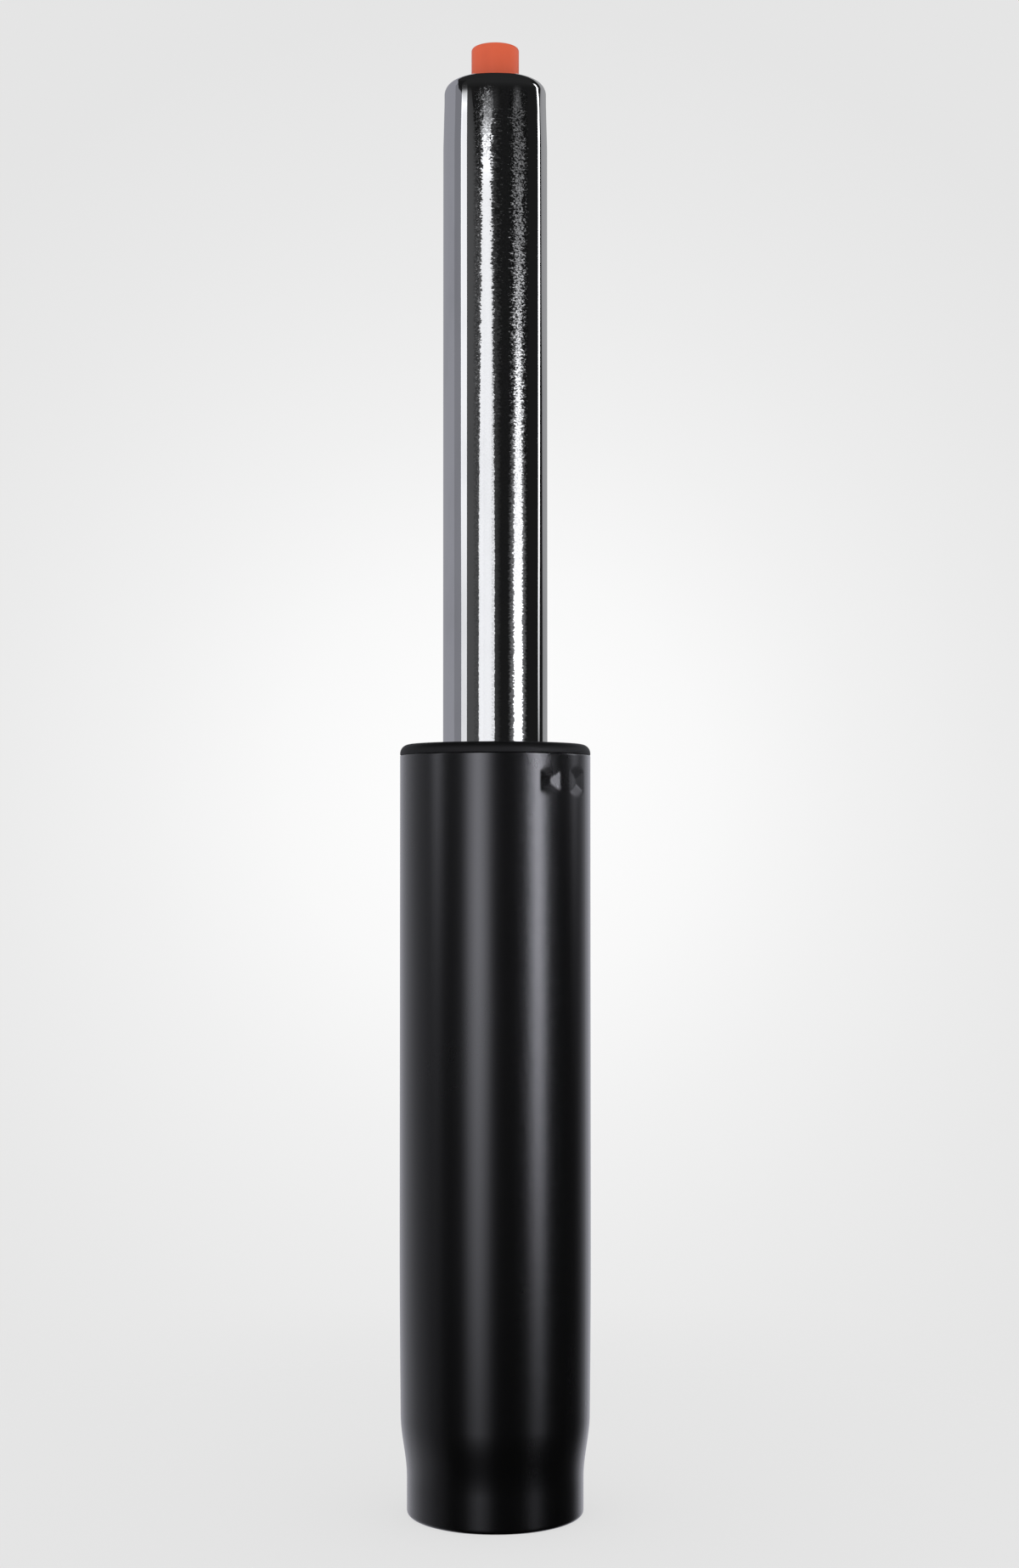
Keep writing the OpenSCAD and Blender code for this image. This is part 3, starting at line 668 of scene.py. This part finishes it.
def hard_chrome():
    """Polished hard chrome, mottled and rippled on the front towards the top.

    There it has a dull, darker grain, and a fine ripple that frays the bright
    strips: noise tilts the surface's normal sideways, round the tube.
    """
    mat, s, bsdf = new_material("hard_chrome")
    marks = s.group(HANDLING, Smear_Scale=70.0, Speck_Scale=1900.0, Speck_Share=0.5).outputs
    place = s.place()
    parts = s.split(place)
    height = parts["Z"]
    turn = s.maths("ARCTAN2", parts["X"], s.product(parts["Y"], -1.0))

    def sector(start, end, soft):
        """1 between two directions in degrees, falling to 0 over soft degrees."""
        middle, half = math.radians((start + end) / 2), math.radians((end - start) / 2)
        aside = s.maths("ABSOLUTE", s.maths("SUBTRACT", turn, middle))
        return s.spread(aside, half, half + math.radians(soft), 1.0, 0.0)

    clean = s.product(sector(*CLEAN), s.spread(height, *CLEAN_END, 1.0, 0.08), -CLEAN_SHARE)
    faint = s.product(sector(*FAINT), -FAINT_SHARE)
    share = s.product(
        sector(*MOTTLED), s.spread(height, *MOTTLE_END, 1.0, 0.0),
        s.product(s.maths("ADD", clean, 1.0), s.maths("ADD", faint, 1.0)))
    dull = s.spread(s.noise(place, 1900.0, 2.0, 0.6), 0.45, 0.68, 0.0, 1.0)
    dull = s.product(dull, share, s.spread(height, *MOTTLE_START, 0.06, 1.0))
    dim = s.spread(s.noise(place, 2300.0, 2.0, 0.6), 0.4, 0.62, 0.0, 1.0)
    dim = s.product(dim, share, s.spread(height, *MOTTLE_START, 0.4, 1.0))
    rough = s.maths("MULTIPLY_ADD", marks["Smears"], 0.015, 0.03)
    rough = s.maths("MULTIPLY_ADD", dull, 0.25, rough)
    colour = s.blend(marks["Smears"], (0.86, 0.865, 0.885), (0.8, 0.805, 0.825))
    colour = s.blend(dim, colour, (0.34, 0.342, 0.35))

    rippled = s.product(
        sector(*RIPPLED), s.spread(height, *RIPPLE_START, 0.18, 1.0),
        s.spread(height, *RIPPLE_END, 1.0, 0.0),
        s.spread(turn, *RIPPLE_TURN, RIPPLE_WEAK, RIPPLE_STRONG))
    ripple = s.noise(s.vector("MULTIPLY", place, (0.6, 0.6, 1.0)), 2200.0, 1.0)
    tilt = s.product(s.maths("SUBTRACT", ripple, 0.5), rippled)
    normal = s.add("ShaderNodeNewGeometry").outputs["Normal"]
    sideways = s.vector("CROSS_PRODUCT", normal, (0.0, 0.0, 1.0))
    tilted = s.vector("ADD", normal, s.add(
        "ShaderNodeVectorMath", {0: sideways, "Scale": tilt}, operation="SCALE").outputs[0])
    feed(s, bsdf, Base_Color=colour, Metallic=1.0, Roughness=rough, Normal=s.vector("NORMALIZE", tilted))
    return mat


def orange_plastic():
    """Moulded orange acetal with a light sheen and a faint texture."""
    mat, s, bsdf = new_material("orange_acetal")
    grain = s.group(GRAIN, Scale=1300.0, Patch_Scale=120.0).outputs
    marks = s.group(HANDLING, Smear_Scale=160.0, Speck_Scale=1400.0, Speck_Share=0.4).outputs
    colour = s.blend(grain["Patches"], (0.73, 0.1, 0.032), (0.81, 0.12, 0.041))
    colour = s.blend(s.product(marks["Smears"], 0.25), colour, (0.6, 0.085, 0.034))
    rough = s.maths("MULTIPLY_ADD", grain["Grain"], 0.12, 0.36)
    feed(s, bsdf, Base_Color=colour, Roughness=rough, Normal=s.bump(grain["Grain"], 8e-6))
    return mat


def worked_metal(name, dark, light, base_rough, pitch, streak, depth):
    """A turned or ground metal: fine rings, patches of tone and a few smears."""
    mat, s, bsdf = new_material(name)
    rings = s.group(TURNING, Pitch=pitch, Streak=streak).outputs["Rings"]
    grain = s.group(GRAIN, Scale=1800.0, Patch_Scale=150.0).outputs
    marks = s.group(HANDLING, Smear_Scale=110.0, Speck_Scale=1600.0, Speck_Share=0.35).outputs
    colour = s.blend(grain["Patches"], dark, light)
    colour = s.blend(s.product(marks["Smears"], 0.3), colour, tuple(0.6 * c for c in dark))
    rough = s.maths("MULTIPLY_ADD", rings, 0.14, base_rough)
    rough = s.maths("MULTIPLY_ADD", marks["Smears"], 0.08, rough)
    feed(s, bsdf, Base_Color=colour, Metallic=1.0, Roughness=rough, Normal=s.bump(rings, depth))
    return mat


def grained_metal(name, dark, light, base_rough, depth):
    """A pressed or blued metal: an even crystal grain with darker patches."""
    mat, s, bsdf = new_material(name)
    grain = s.group(GRAIN, Scale=1600.0, Patch_Scale=220.0).outputs
    marks = s.group(HANDLING, Smear_Scale=90.0, Speck_Scale=1300.0, Speck_Share=0.45).outputs
    colour = s.blend(s.spread(grain["Patches"], 0.35, 0.65, 0.0, 1.0), dark, light)
    colour = s.blend(s.product(marks["Specks"], 0.4), colour, tuple(0.5 * c for c in dark))
    rough = s.maths("MULTIPLY_ADD", grain["Grain"], 0.22, base_rough)
    feed(s, bsdf, Base_Color=colour, Metallic=1.0, Roughness=rough, Normal=s.bump(grain["Grain"], depth))
    return mat


def soft_plastic(name, dark, light, base_rough, scatter, depth):
    """Rubber or a waxy plastic: fine grain, slow tone changes, soft gloss."""
    mat, s, bsdf = new_material(name)
    grain = s.group(GRAIN, Scale=1500.0, Patch_Scale=90.0).outputs
    marks = s.group(HANDLING, Smear_Scale=120.0, Speck_Scale=1200.0, Speck_Share=0.4).outputs
    colour = s.blend(grain["Patches"], dark, light)
    colour = s.blend(s.product(marks["Smears"], 0.3), colour, tuple(0.75 * c for c in dark))
    rough = s.maths("MULTIPLY_ADD", grain["Grain"], 0.18, base_rough)
    feed(s, bsdf, Base_Color=colour, Roughness=rough, Normal=s.bump(grain["Grain"], depth),
         Subsurface_Weight=scatter)
    return mat


def dress_nodes():
    """Gives every carried-over CAD node the finish of its kind.

    After two colours comes the roughness, then for a worked metal its pitch and
    streak and for a plastic its scatter, and last the bump's depth in metres.
    """
    ground = worked_metal("ground_steel", (0.5, 0.5, 0.52), (0.62, 0.62, 0.64), 0.16, 5200, 30, 2e-6)
    ball = worked_metal("ball_steel", (0.6, 0.6, 0.62), (0.68, 0.68, 0.7), 0.06, 900, 900, 4e-7)
    plated = grained_metal("pressed_plate", (0.24, 0.24, 0.25), (0.36, 0.36, 0.37), 0.3, 6e-6)
    blued = grained_metal("blued_spring", (0.07, 0.075, 0.095), (0.13, 0.135, 0.16), 0.28, 4e-6)
    alloy = worked_metal("drawn_alloy", (0.6, 0.61, 0.63), (0.72, 0.73, 0.75), 0.24, 3800, 24, 3e-6)
    brass = worked_metal("turned_brass", (0.56, 0.4, 0.16), (0.7, 0.52, 0.24), 0.2, 4200, 26, 3e-6)
    rubber = soft_plastic("black_rubber", (0.014, 0.014, 0.015), (0.024, 0.024, 0.025), 0.55, 0, 1e-5)
    white = soft_plastic("waxy_white", (0.66, 0.64, 0.57), (0.76, 0.74, 0.67), 0.38, 0.15, 6e-6)
    finishes = {
        "bottom_plate": plated, "clip_washer": plated, "thrust_washer": ground,
        "lower_race": ground, "upper_race": ground, "bearing_balls": ball, "bearing_cage": white,
        "piston_rod": ground, "rubber_bumper": rubber, "retaining_clip": blued,
        "piston": alloy, "piston_ring": white, "piston_washer": plated, "piston_nut": plated,
        "inner_tube": alloy, "tube_spacer": white, "rod_guide": alloy, "rod_seal": rubber,
        "seal_washer": plated, "valve_body": brass, "body_seals": rubber, "spigot_seal": rubber,
        "pin_seals": rubber, "seal_spacer": alloy, "valve_disc": plated, "valve_pin": ground,
    }
    for name, finish in finishes.items():
        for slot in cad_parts[name].material_slots:
            slot.material = finish


# In pixels of the picture: its size, the fitted focal length and the column of
# the part's axis. Then the fitted camera's place in metres and tilt in degrees
PICTURE_W, PICTURE_H = 1200, 1846
FOCUS_PX = 2984.0
AXIS_COLUMN = 583.2
CAMERA_Y, CAMERA_Z, CAMERA_TILT = -0.6793, 0.1760, 1.5


def make_camera():
    """The picture's viewpoint: just under the rim's level, tilted up a little."""
    data = bpy.data.cameras.new("camera")
    data.sensor_width = 36.0
    data.lens = FOCUS_PX / PICTURE_H * data.sensor_width
    data.shift_x = (PICTURE_W / 2 - AXIS_COLUMN) / PICTURE_H
    data.clip_start, data.clip_end = 0.01, 50.0
    camera = bpy.data.objects.new("camera", data)
    camera.location = (0.0, CAMERA_Y, CAMERA_Z)
    camera.rotation_euler = (math.radians(90 + CAMERA_TILT), 0.0, 0.0)
    bpy.context.scene.collection.objects.link(camera)
    bpy.context.scene.camera = camera


# The backdrop's tone against the angle from its bright middle, in degrees, and
# the even light that matt surfaces get
BACKDROP_TONES = [
    (0.0, 0.985), (2.6, 0.972), (4.8, 0.945), (8.2, 0.878), (11.0, 0.838), (13.4, 0.812),
    (17.0, 0.784)]
AMBIENT = 1.0


def make_backdrop():
    """A pale backdrop with a brighter middle, and even soft light on the object.

    What the camera, polished metal and clear parts see is the pale tone, by the
    angle between the view and the backdrop's middle. Matt surfaces get even
    light from all round.
    """
    world = bpy.data.worlds.new("studio")
    bpy.context.scene.world = world
    world.use_nodes = True
    world.cycles.sampling_method = "NONE"
    tree = world.node_tree
    tree.nodes.clear()
    s = Shader(tree)
    direction = s.add("ShaderNodeTexCoord").outputs["Generated"]
    tilt = math.radians(CAMERA_TILT)
    dot = s.add("ShaderNodeVectorMath", {0: direction, 1: (0.0, math.cos(tilt), math.sin(tilt))},
                operation="DOT_PRODUCT").outputs["Value"]
    degrees = s.product(s.maths("ARCCOSINE", s.maths("MINIMUM", dot, 1.0)), math.degrees(1))
    widest = BACKDROP_TONES[-1][0]
    ramp = s.add("ShaderNodeValToRGB", {0: s.maths("DIVIDE", degrees, widest)})
    set_ramp(ramp, [(angle / widest, tone) for angle, tone in BACKDROP_TONES])
    seen = s.seen()
    pale = s.add("ShaderNodeBackground", {"Color": ramp.outputs[0], "Strength": 1.0})
    even = s.add("ShaderNodeBackground", {"Color": (1.0, 1.0, 1.0, 1.0), "Strength": AMBIENT})
    both = s.add("ShaderNodeMixShader", {0: seen, 1: even.outputs[0], 2: pale.outputs[0]})
    s.add("ShaderNodeOutputWorld", {"Surface": both.outputs[0]})


def set_ramp(node, stops):
    """Sets a colour ramp to grey tones at the given places."""
    elements = node.color_ramp.elements
    while len(elements) > 1:
        elements.remove(elements[-1])
    for i, (place, tone) in enumerate(stops):
        element = elements[0] if i == 0 else elements.new(place)
        element.position = place
        element.color = (tone, tone, tone, 1.0)


def empty_material(name):
    """A material with no nodes yet, and the helper for its tree."""
    mat = bpy.data.materials.new(name)
    mat.use_nodes = True
    mat.node_tree.nodes.clear()
    return mat, Shader(mat.node_tree)


def disc_mesh(name, radii, count, level):
    """A flat disc: a point on the axis, and rings of that many even points."""
    turn = whole_turn(count)
    verts = [[0.0, 0.0, level]]
    verts += [[r * math.cos(a), r * math.sin(a), level] for r in radii for a in turn]
    faces = []
    for i in range(count):
        j = (i + 1) % count
        faces.append([0, 1 + i, 1 + j])
        for k in range(len(radii) - 1):
            low, high = 1 + count * k, 1 + count * (k + 1)
            faces.append([low + i, high + i, high + j, low + j])
    return make_mesh(name, np.array(verts) / MM, faces)


# The floor is whole to FLOOR_SOLID_R and gone at FLOOR_R, in metres. Its own
# glow is what the camera sees, and its matt tone takes the object's shadow
FLOOR_R, FLOOR_SOLID_R = 0.34, 0.12
FLOOR_MATT, FLOOR_GLOW = 0.16, 0.63


def make_floor():
    """A pale floor that fades into the backdrop, and keeps the object's shadow.

    It is see-through from below, so that the foot can be looked at.
    """
    floor = disc_mesh("floor", np.linspace(0.0, FLOOR_R, 9)[1:], 64, 0.0)
    mat, s = empty_material("pale_floor")
    out = s.add("ShaderNodeVectorMath", {0: s.place()}, operation="LENGTH").outputs["Value"]
    fade = s.spread(out, FLOOR_SOLID_R, FLOOR_R, 0.0, 1.0)
    below = s.add("ShaderNodeNewGeometry").outputs["Backfacing"]
    matt = s.add("ShaderNodeBsdfDiffuse", {"Color": (FLOOR_MATT, FLOOR_MATT, FLOOR_MATT, 1.0)})
    glow = s.add("ShaderNodeEmission", {
        "Color": (1.0, 1.0, 1.0, 1.0), "Strength": s.product(s.seen(), FLOOR_GLOW)})
    both = s.add("ShaderNodeAddShader", {0: matt.outputs[0], 1: glow.outputs[0]})
    clear = s.add("ShaderNodeBsdfTransparent")
    mixed = s.add("ShaderNodeMixShader", {
        0: s.maths("MAXIMUM", fade, below), 1: both.outputs[0], 2: clear.outputs[0]})
    s.add("ShaderNodeOutputMaterial", {"Surface": mixed.outputs[0]})
    floor.data.materials.append(mat)
    # The picture's black finish shows no floor in it
    floor.visible_glossy = False


# A ring of tall glowing panels stands round the object, out of the picture, in
# front of a dark wall. Each has rows of (height, from, to, tone): the height in
# metres, its two sides in degrees from the camera's side towards +X, and its
# tone there. Glows that overlap add up. One set lights the black stand and the
# other the chromed tube and all the rest, as two takes of a studio picture do.
PANEL_R = 0.3
PANEL_STAGGER = 0.001
WALL_GAP, LID_OVERHANG = 0.005, 0.01
PANEL_TOP, PANEL_FOOT = 0.66, -0.5
TUBE_PANEL_TOP = 0.42
PANEL_COLUMNS, LID_POINTS = 25, 48
WALL_TONE, CHROME_WALL_TONE = 0.005, 0.0065
BACK_FROM, BACK_TO, BACK_TONE = 172, 188, 0.9
LID_TONE_ABOVE, LID_TONE_BELOW = 0.02, 0.004
PLAIN_TINT, COOL_TINT = (0.985, 0.99, 1.0), (0.96, 0.965, 1.06)
COOL_CHROME_PANELS = ("left_side", "left_edge")

# How a tone runs across a panel: (share of the width, factor), ...
EVEN = [(0.0, 1.0), (1.0, 1.0)]
BELL = [(0.0, 0.0), (0.25, 0.5), (0.5, 1.0), (0.75, 0.5), (1.0, 0.0)]
LEFT_FALL = [
    (0.0, 1.9), (0.25, 1.75), (0.38, 1.52), (0.48, 1.32), (0.56, 0.99), (0.64, 0.85), (0.71, 0.72),
    (0.77, 0.5), (0.82, 0.3), (0.9, 0.15), (1.0, 0.0)]
RIGHT_RISE = [
    (0.0, 0.03), (0.2, 0.04), (0.33, 0.12), (0.46, 0.66), (0.64, 1.85), (0.77, 2.15), (1.0, 2.2)]
INNER_SHADE = [(0.0, 0.82), (0.25, 0.98), (1.0, 1.0)]
LATE_FALL = [(0.0, 1.1), (0.5, 1.0), (1.0, 0.7)]
ROUNDED = [(0.0, 0.94), (0.15, 1.0), (0.6, 1.0), (0.85, 0.96), (1.0, 0.9)]


def upright(start, end, tones):
    """Rows of a panel with straight sides, from its (height, tone) pairs."""
    return [(height, start, end, tone) for height, tone in tones]


def whole_height(start, end, tone):
    """Rows of a panel with straight sides and one tone from foot to top."""
    return upright(start, end, [(PANEL_FOOT, tone), (PANEL_TOP, tone)])


CHROME_PANELS = [
    ("left_side", EVEN, [
        (PANEL_FOOT, -172, -100.5, 0.3), (0.563, -172, -100.5, 0.3), (0.611, -172, -108.5, 0.3),
        (PANEL_TOP, -172, -124, 0.3)]),
    ("left_edge", EVEN, [
        (PANEL_FOOT, -100.5, -77.5, 0.24), (0.341, -100.5, -77.5, 0.22), (0.469, -100.5, -77.5, 0.2),
        (0.474, -100.5, -90.5, 0.2), (0.525, -100.5, -96.5, 0.2), (0.561, -100.5, -100, 0.2)]),
    ("left_strip", EVEN, [
        (PANEL_FOOT, -78, -64.5, 0.8), (0.267, -78.5, -64, 0.86), (0.307, -79.5, -64, 1.02),
        (0.385, -80, -64, 1.02), (0.456, -80.5, -64.5, 1.0), (0.462, -80.5, -65, 1.0),
        (0.467, -80, -65, 1.3), (0.472, -79.5, -65, 0.06), (0.477, -79, -65, 0.0)]),
    ("left_gap", LATE_FALL, [
        (PANEL_FOOT, -66, -25.5, 0.07), (0.364, -66, -25.5, 0.066), (0.409, -66, -33, 0.066),
        (0.432, -66, -38, 0.066), (0.452, -66, -43, 0.058), (0.467, -66, -52, 0.045),
        (0.474, -66, -56, 0.0)]),
    ("main_strip", ROUNDED, [
        (PANEL_FOOT, -36.5, -1.5, 0.9), (0.294, -35.5, -1.5, 0.94), (0.333, -34, -3, 0.93),
        (0.382, -31, -5.5, 0.95), (0.427, -29, -8.5, 0.97), (0.434, -28.5, -9, 1.05),
        (0.445, -28, -9.5, 1.4), (0.452, -28, -9.5, 1.9), (0.457, -27.5, -9, 1.05),
        (0.459, -27.5, -7.5, 0.5), (0.461, -27, -6, 0.28), (0.464, -26, -4.5, 0.22),
        (0.468, -25, -4, 0.075), (0.471, -25.5, -5, 0.004), (0.474, -26, -6, 0.0)]),
    ("main_haze", BELL, [
        (PANEL_FOOT, -43, 14, 0.07), (0.38, -43, 13, 0.07), (0.4, -43, 8.5, 0.07),
        (0.455, -43, 8.5, 0.062), (0.466, -43, 12, 0.058), (0.474, -43, 12, 0.0)]),
    ("right_strip", EVEN, [
        (PANEL_FOOT, 40.5, 60.5, 1.5), (0.251, 40.5, 61, 1.4), (0.268, 40.5, 61, 1.3),
        (0.293, 40, 61, 1.1), (0.316, 42, 60, 1.15), (0.346, 45, 58, 1.3), (0.361, 46.5, 57, 1.1),
        (0.376, 47.5, 57, 0.6), (0.393, 48, 56.5, 0.24), (0.406, 46, 54, 0.05), (0.426, 47, 53, 0.0)]),
    ("right_haze", BELL, [
        (PANEL_FOOT, 28.5, 72.5, 0.36), (0.298, 27.5, 73, 0.33), (0.35, 35, 67, 0.34),
        (0.385, 39, 65, 0.46), (0.41, 40.5, 64.5, 0.44), (0.428, 41, 63.5, 0.36),
        (0.446, 40.5, 62.5, 0.26), (0.456, 40, 62, 0.22), (0.462, 39.5, 61.5, 0.2),
        (0.467, 39, 61, 0.16), (0.472, 38, 61, 0.02), (0.475, 38, 61, 0.0)]),
    ("slim_strip", EVEN, [
        (PANEL_FOOT, 107, 113, 0.1), (0.215, 107, 113, 0.2), (0.223, 107, 113, 0.46),
        (0.245, 107, 113, 0.85), (0.265, 107, 113.5, 1.0), (0.289, 108, 114, 1.35),
        (0.315, 108.5, 114, 2.1), (0.352, 109, 114.5, 3.3), (0.384, 109, 115, 3.5),
        (0.452, 109, 115, 3.2), (0.46, 109, 115.5, 3.0), (0.464, 110, 116, 2.8),
        (0.469, 109, 115, 2.6), (0.473, 107, 112.5, 2.2), (0.478, 104, 110, 2.0),
        (0.487, 103, 109, 2.0), (0.506, 102, 109, 2.4), (0.53, 101.5, 109, 1.8),
        (0.56, 101, 109, 0.03)]),
    ("right_side", INNER_SHADE, [
        (PANEL_FOOT, 127.5, 172, 0.32), (0.258, 127, 172, 0.325), (0.294, 126, 172, 0.325),
        (0.35, 125, 172, 0.33), (0.39, 122.5, 172, 0.33), (0.433, 121.5, 172, 0.33),
        (0.465, 120.5, 172, 0.33), (0.474, 124, 172, 0.33), (0.527, 128, 172, 0.33),
        (0.575, 133, 172, 0.33), (0.623, 140, 172, 0.33), (PANEL_TOP, 150, 172, 0.33)]),
    ("top_glow", EVEN, upright(-78, 104, [(0.474, 0.0), (0.478, 0.009), (PANEL_TOP, 0.009)])),
    ("chrome_wall", EVEN, whole_height(0, 360, CHROME_WALL_TONE)),
]

TUBE_PANELS = [
    ("left_side_low", LEFT_FALL, upright(-170.3, -56.2, [
        (PANEL_FOOT, 0.31), (-0.069, 0.28), (0.165, 0.27), (TUBE_PANEL_TOP, 0.27)])),
    ("left_strip_low", BELL, upright(-81.5, -60, [
        (-0.183, 0.01), (-0.109, 0.03), (-0.025, 0.065), (0.044, 0.115), (0.079, 0.16),
        (0.114, 0.22), (0.138, 0.33), (0.165, 0.54), (0.191, 0.9), (0.21, 1.1), (0.25, 1.3),
        (TUBE_PANEL_TOP, 1.3)])),
    ("left_gap_low", EVEN, upright(-60, -38.7, [
        (-0.209, 0.0), (-0.01, 0.016), (0.215, 0.035), (TUBE_PANEL_TOP, 0.035)])),
    ("main_strip_low", BELL, upright(-37.2, -2.3, [
        (-0.282, 0.0), (-0.134, 0.05), (-0.069, 0.36), (-0.039, 0.58), (-0.006, 0.95),
        (0.014, 1.15), (0.046, 1.38), (0.079, 1.8), (0.112, 2.3), (0.138, 2.55), (0.165, 2.65),
        (0.21, 2.75), (TUBE_PANEL_TOP, 2.8)])),
    ("right_strip_low", BELL, upright(36.4, 64.1, [
        (-0.282, 0.0), (-0.134, 0.05), (-0.069, 0.22), (-0.039, 0.38), (-0.006, 0.84),
        (0.014, 1.1), (0.046, 1.84), (0.079, 2.85), (0.112, 4.2), (0.138, 4.8), (0.165, 5.3),
        (0.2, 6.1), (TUBE_PANEL_TOP, 6.3)])),
    ("slim_strip_low", BELL, upright(98, 115.2, [
        (0.079, 0.0), (0.112, 0.04), (0.138, 0.08), (0.165, 0.2), (0.191, 0.38), (0.212, 0.6),
        (0.235, 1.8), (0.26, 3.7), (0.3, 3.7), (TUBE_PANEL_TOP, 1.2)])),
    ("right_side_low", RIGHT_RISE, [
        (PANEL_FOOT, 93, 170.3, 0.31), (-0.069, 92, 170.3, 0.28), (0.0, 89, 170.3, 0.285),
        (0.04, 87.3, 170.3, 0.29), (0.188, 87.3, 170.3, 0.285),
        (TUBE_PANEL_TOP, 87.3, 170.3, 0.285)]),
]


def panel_mesh(name, rows, radius):
    """A curved panel facing the object, with its own map for the finish.

    A point at share s across a row is radius away in the direction
    from + s (to - from), at the row's height.
    """
    shares = np.linspace(0, 1, PANEL_COLUMNS)
    heights = np.array([row[0] for row in rows])
    across = np.radians([row[1] + shares * (row[2] - row[1]) for row in rows])
    level = np.repeat(heights[:, None], len(shares), axis=1)
    verts = np.stack([radius * np.sin(across), -radius * np.cos(across), level], axis=-1)
    verts = verts.reshape(-1, 3)
    index = np.arange(len(verts)).reshape(len(rows), len(shares))
    faces = np.stack([index[:-1, :-1], index[1:, :-1], index[1:, 1:], index[:-1, 1:]], axis=-1)
    faces = faces.reshape(-1, 4)
    panel = make_mesh(name, verts / MM, faces.tolist())
    layer = panel.data.uv_layers.new(name="panel_map")
    corners = np.zeros(len(panel.data.loops), int)
    panel.data.loops.foreach_get("vertex_index", corners)
    up = (heights - heights[0]) / (heights[-1] - heights[0])
    spots = np.stack([shares[corners % len(shares)], up[corners // len(shares)]], axis=1)
    layer.data.foreach_set("uv", spots.ravel())
    return panel


def panel_finish(name, across, rows, tint):
    """A clear panel that glows: its tone follows its width and its height."""
    mat, s = empty_material(name)
    spot = s.split(s.add("ShaderNodeUVMap", uv_map="panel_map").outputs[0])
    low, high = rows[0][0], rows[-1][0]
    upward = [((row[0] - low) / (high - low), row[3]) for row in rows]
    strength = 1.0
    for place, stops in ((spot["Y"], upward), (spot["X"], across)):
        peak = max(tone for _, tone in stops)
        ramp = s.add("ShaderNodeValToRGB", {0: place})
        ramp.color_ramp.interpolation = "EASE" if stops is BELL else "LINEAR"
        set_ramp(ramp, [(share, tone / peak) for share, tone in stops])
        strength = s.product(strength, s.product(ramp.outputs[0], peak))
    glow = s.add("ShaderNodeEmission", {"Color": (*tint, 1.0), "Strength": strength})
    clear = s.add("ShaderNodeBsdfTransparent")
    both = s.add("ShaderNodeAddShader", {0: glow.outputs[0], 1: clear.outputs[0]})
    s.add("ShaderNodeOutputMaterial", {"Surface": both.outputs[0]})
    return mat


def only_reflected(obj):
    """Keeps an object out of everything but reflections."""
    obj.visible_camera = False
    obj.visible_diffuse = False
    obj.visible_transmission = False
    obj.visible_shadow = False
    obj.visible_volume_scatter = False


def plain_glow(name, tone):
    """An even glow."""
    mat, s = empty_material(name)
    glow = s.add("ShaderNodeEmission", {"Color": (1.0, 1.0, 1.0, 1.0), "Strength": tone})
    s.add("ShaderNodeOutputMaterial", {"Surface": glow.outputs[0]})
    return mat


def receivers(name, pieces):
    """A collection of the pieces that a set of panels lights."""
    group = bpy.data.collections.new(name)
    for piece in pieces:
        group.objects.link(piece)
    return group


def make_panels(stand, others):
    """The glowing panels, the dark wall behind them, and a dark lid above and below."""
    stage = []
    sets = (
        (receivers("stand_pieces", stand), TUBE_PANELS),
        (receivers("other_pieces", others), CHROME_PANELS),
        (None, [("back", EVEN, whole_height(BACK_FROM, BACK_TO, BACK_TONE))]),
    )
    for group, panels in sets:
        for i, (name, across, rows) in enumerate(panels):
            cool = panels is TUBE_PANELS or name in COOL_CHROME_PANELS
            # Panels that overlap stand a little behind each other
            panel = panel_mesh(name, rows, PANEL_R - PANEL_STAGGER * (i % 4))
            panel.data.materials.append(
                panel_finish(name, across, rows, COOL_TINT if cool else PLAIN_TINT))
            panel.light_linking.receiver_collection = group
            stage.append(panel)
    wall = panel_mesh("wall", whole_height(0, 360, 0), PANEL_R + WALL_GAP)
    wall.data.materials.append(plain_glow("wall", WALL_TONE))
    stage.append(wall)
    for name, z, tone in (
            ("lid_above", PANEL_TOP, LID_TONE_ABOVE), ("lid_below", PANEL_FOOT, LID_TONE_BELOW)):
        lid = disc_mesh(name, [PANEL_R + LID_OVERHANG], LID_POINTS, z)
        lid.data.materials.append(plain_glow(name, tone))
        stage.append(lid)
    for obj in stage:
        only_reflected(obj)


make_camera()
make_backdrop()
make_floor()
dress_nodes()
shell, collar, chrome, cap = stand_shell(), rim_collar(), chrome_tube(), button_cap()
shell.data.materials.append(satin_black_paint())
collar.data.materials.append(matte_black_plastic())
chrome.data.materials.append(hard_chrome())
cap.data.materials.append(orange_plastic())
make_panels([shell, collar], [chrome, cap, *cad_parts.values()])
bpy.context.scene.view_settings.view_transform = "Standard"
